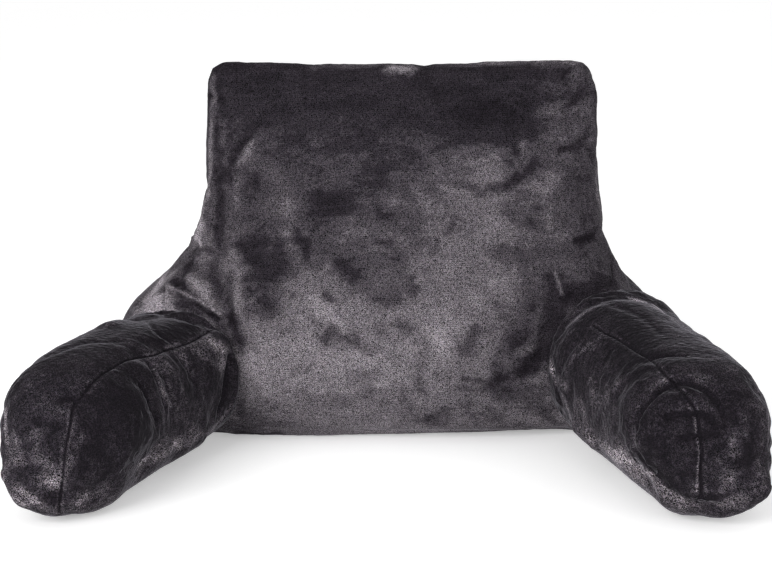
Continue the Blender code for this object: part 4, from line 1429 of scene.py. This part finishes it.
@dataclass
class Backrest(PaddedPiece):
    """The backrest: front and back panels, joined all round by a gusset.

    Attributes:
        levels: Its height, its left and right reach, and y of its front and back seams.
        tones: Its tone up the front, as height and tone: dark nap at the top, and pale at the foot,
            partly painted light there.
    """

    voxel: float = 0.0062
    fine_from: float = 0.45
    seam_depth: float = 1.8
    seam_width: float = 4.0
    seam_shade: float = 0.0
    levels: tuple[tuple[float, ...], ...] = (
        (0.018, -0.336, 0.308, -0.059, 0.083),
        (0.100, -0.354, 0.320, -0.073, 0.096),
        (0.145, -0.336, 0.296, -0.070, 0.095),
        (0.185, -0.293, 0.258, -0.061, 0.092),
        (0.220, -0.256, 0.239, -0.049, 0.088),
        (0.255, -0.241, 0.232, -0.037, 0.084),
        (0.350, -0.232, 0.226, -0.009, 0.076),
        (0.436, -0.229, 0.223, 0.013, 0.068),
    )
    tones: tuple[Pixel, ...] = (
        (0.000, 0.90), (0.036, 0.82), (0.065, 0.84), (0.095, 0.90), (0.150, 0.84),
        (0.180, 0.76), (0.210, 0.64), (0.236, 0.52), (0.290, 0.46), (0.344, 0.38),
        (0.371, 0.26), (0.400, 0.17), (0.454, 0.17),
    )

    def seams(self) -> list[np.ndarray]:
        """The lines along which the piece's panels are sewn."""
        found = []
        for deep in (3, 4):
            left, right = (
                [(row[side], row[deep], row[0]) for row in self.levels] for side in (1, 2)
            )
            top = 0.454 if deep == 3 else 0.434
            y = left[-1][1] + (0.006 if deep == 3 else -0.004)
            across = [(-0.228, y, top), (0.0, y, top - 0.003), (0.222, y, top)]
            for route in (left, right, across):
                line = smooth_line(route, 0.006)
                found.append(np.array([self.tree.find_nearest(Vector(p))[0] for p in line], float))
        return found

    def base_tone(self) -> np.ndarray:
        """Dark at the top and pale at the foot in front, the foot partly painted light, and drifting and
        paler towards the foot elsewhere.
        """
        heights, tones = zip(*self.tones)
        # Up the front: dark nap at the top; at the foot, painted light where the floor shades it.
        front = np.interp(self.points[:, 2], heights, tones)
        # Darker over the lower right of the front.
        front = front - 0.25 * soft_step(self.points[:, 0], 0.02, 0.16) * soft_step(
            -self.points[:, 2], -0.26, -0.17)
        brushed = self.points * (1.0, 1.0, 0.45)
        drift = lumps(brushed, 9) * 0.34 + lumps(brushed, 26) * 0.24 + lumps(self.points, 60) * 0.08
        # Paler towards the foot, as the front is.
        rest = 0.56 - 0.5 * self.points[:, 2] + drift
        facing = soft_step(-self.normals[:, 1], 0.0, 0.45)
        return front * facing + rest * (1 - facing)


@dataclass
class Arm(PaddedPiece):
    """An arm: two long panels, sewn over the top, round the tip and along the underside.

    Attributes:
        seam_route: Its seam over the top and down the tip, in pixels of the front camera's frame.
    """

    voxel: float = 0.0042
    most_move: float = 0.0015
    evening: int = 4
    seam_route: tuple[Pixel, ...] = ()

    def seams(self) -> list[np.ndarray]:
        """The lines along which the piece's panels are sewn."""
        return [self.pinned(self.seam_route)]

    def base_tone(self) -> np.ndarray:
        """Dark all over and drifting a little, paler where it faces away from the front camera, with
        painted light low down and painted shade on faces that look up.
        """
        drift = lumps(self.points, 17) * 0.16 + lumps(self.points, 41) * 0.14
        behind = 1 - soft_step(self.normals @ np.array(self.eye.axes()[2]), -0.5, 0.1)
        # Painted bounce light from the floor, low down where the floor shades the arm.
        low = 1 - soft_step(self.points[:, 2], 0.0, 0.07)
        # Painted shade on faces that look up.
        top = soft_step(self.normals[:, 2], 0.2, 0.9)
        return 0.16 + drift * (0.6 + behind) + 0.16 * behind + 0.22 * low - 0.06 * top


LEFT_ARM_SEAM = (
    (217, 325), (206, 333), (191, 342), (179, 346), (166, 350), (154, 355), (141, 357),
    (126, 360), (116, 366), (100, 376), (90, 386), (81, 398), (74, 406), (70, 426), (65, 449),
    (63, 474), (61, 491), (59, 514),
)
RIGHT_ARM_SEAM = (
    (593, 325), (601, 331), (617, 339), (629, 347), (642, 355), (652, 361), (661, 371),
    (675, 386), (689, 400), (698, 417), (699, 432), (702, 449), (701, 468), (702, 487),
    (702, 497), (697, 505), (698, 514),
)


# ---------------------------------------------------------------------------------------------
# Studio
# ---------------------------------------------------------------------------------------------


@dataclass(frozen=True)
class Softbox:
    """One soft light: where it stands, what it points at, its size and its power."""

    name: str
    place: Colour
    target: Colour
    size: float
    watts: float

    def build(self) -> None:
        """Adds the light."""
        data = bpy.data.lights.new(self.name, "AREA")
        data.shape = "SQUARE"
        data.size = self.size
        data.energy = self.watts
        light = bpy.data.objects.new(self.name, data)
        place = Vector(self.place)
        turn = (Vector(self.target) - place).to_track_quat("-Z", "Y").to_matrix().to_4x4()
        light.matrix_world = Matrix.Translation(place) @ turn
        bpy.context.scene.collection.objects.link(light)


@dataclass(frozen=True)
class Studio:
    """A plain pale floor under soft light."""

    floor_side: float = 60.0
    floor: FloorFinish = FloorFinish()
    sky: Colour = (1.0, 1.0, 1.0)
    sky_strength: float = 0.70
    lights: tuple[Softbox, ...] = (
        Softbox("key", (-1.4, -2.8, 1.5), (0, 0, 0.15), 1.6, 70),
        Softbox("fill", (2.2, -2.2, 1.2), (0, 0, 0.2), 1.8, 20),
    )

    def build(self) -> None:
        """Adds the floor, the sky and the lights."""
        bm = bmesh.new()
        bmesh.ops.create_grid(bm, x_segments=1, y_segments=1, size=self.floor_side / 2)
        data = bpy.data.meshes.new("studio_floor")
        bm.to_mesh(data)
        bm.free()
        data.materials.append(self.floor.material())
        floor = bpy.data.objects.new("studio_floor", data)
        bpy.context.scene.collection.objects.link(floor)
        world = bpy.data.worlds.new("studio")
        world.use_nodes = True
        background = world.node_tree.nodes["Background"]
        background.inputs["Color"].default_value = (*self.sky, 1)
        background.inputs["Strength"].default_value = self.sky_strength
        bpy.context.scene.world = world
        for light in self.lights:
            light.build()


def main() -> None:
    """Builds the studio and the pillow, and logs each piece as it is built."""
    logging.basicConfig(level=logging.INFO, format="%(message)s")
    scene = bpy.context.scene
    scene.view_settings.view_transform = "Standard"
    eye = FrontCamera()
    eye.build()
    Studio().build()
    round_arm = {
        "rows": Rows.ROUND, "stretch": (2.0, 1.0, 2.0), "grain": 1800.0, "lay": (1.0, 0.5, 1.0),
        "level": 0.99, "rib": 0.25, "sparkle": 3.2, "calm": 0.8, "tips": 0.32, "mottle": 0.34,
        "sheen": 0.34, "sheen_roughness": 0.17,
    }
    pieces = (
        Backrest(
            "backrest", eye, PlushFinish("plush_panels"), ("arm_left", "arm_right"),
            BACKREST_CREASES, BACKREST_STROKES,
        ),
        Arm(
            "arm_left", eye, PlushFinish("plush_left", turn=-12.0, **round_arm), ("backrest",),
            LEFT_ARM_CREASES, LEFT_ARM_STROKES, seam_route=LEFT_ARM_SEAM,
        ),
        Arm(
            "arm_right", eye, PlushFinish("plush_right", turn=14.0, **round_arm), ("backrest",),
            RIGHT_ARM_CREASES, RIGHT_ARM_STROKES, seam_route=RIGHT_ARM_SEAM,
        ),
    )
    for piece in pieces:
        made = piece.build()
        LOG.info("built %s", made.name)


if __name__ == "__main__":
    main()
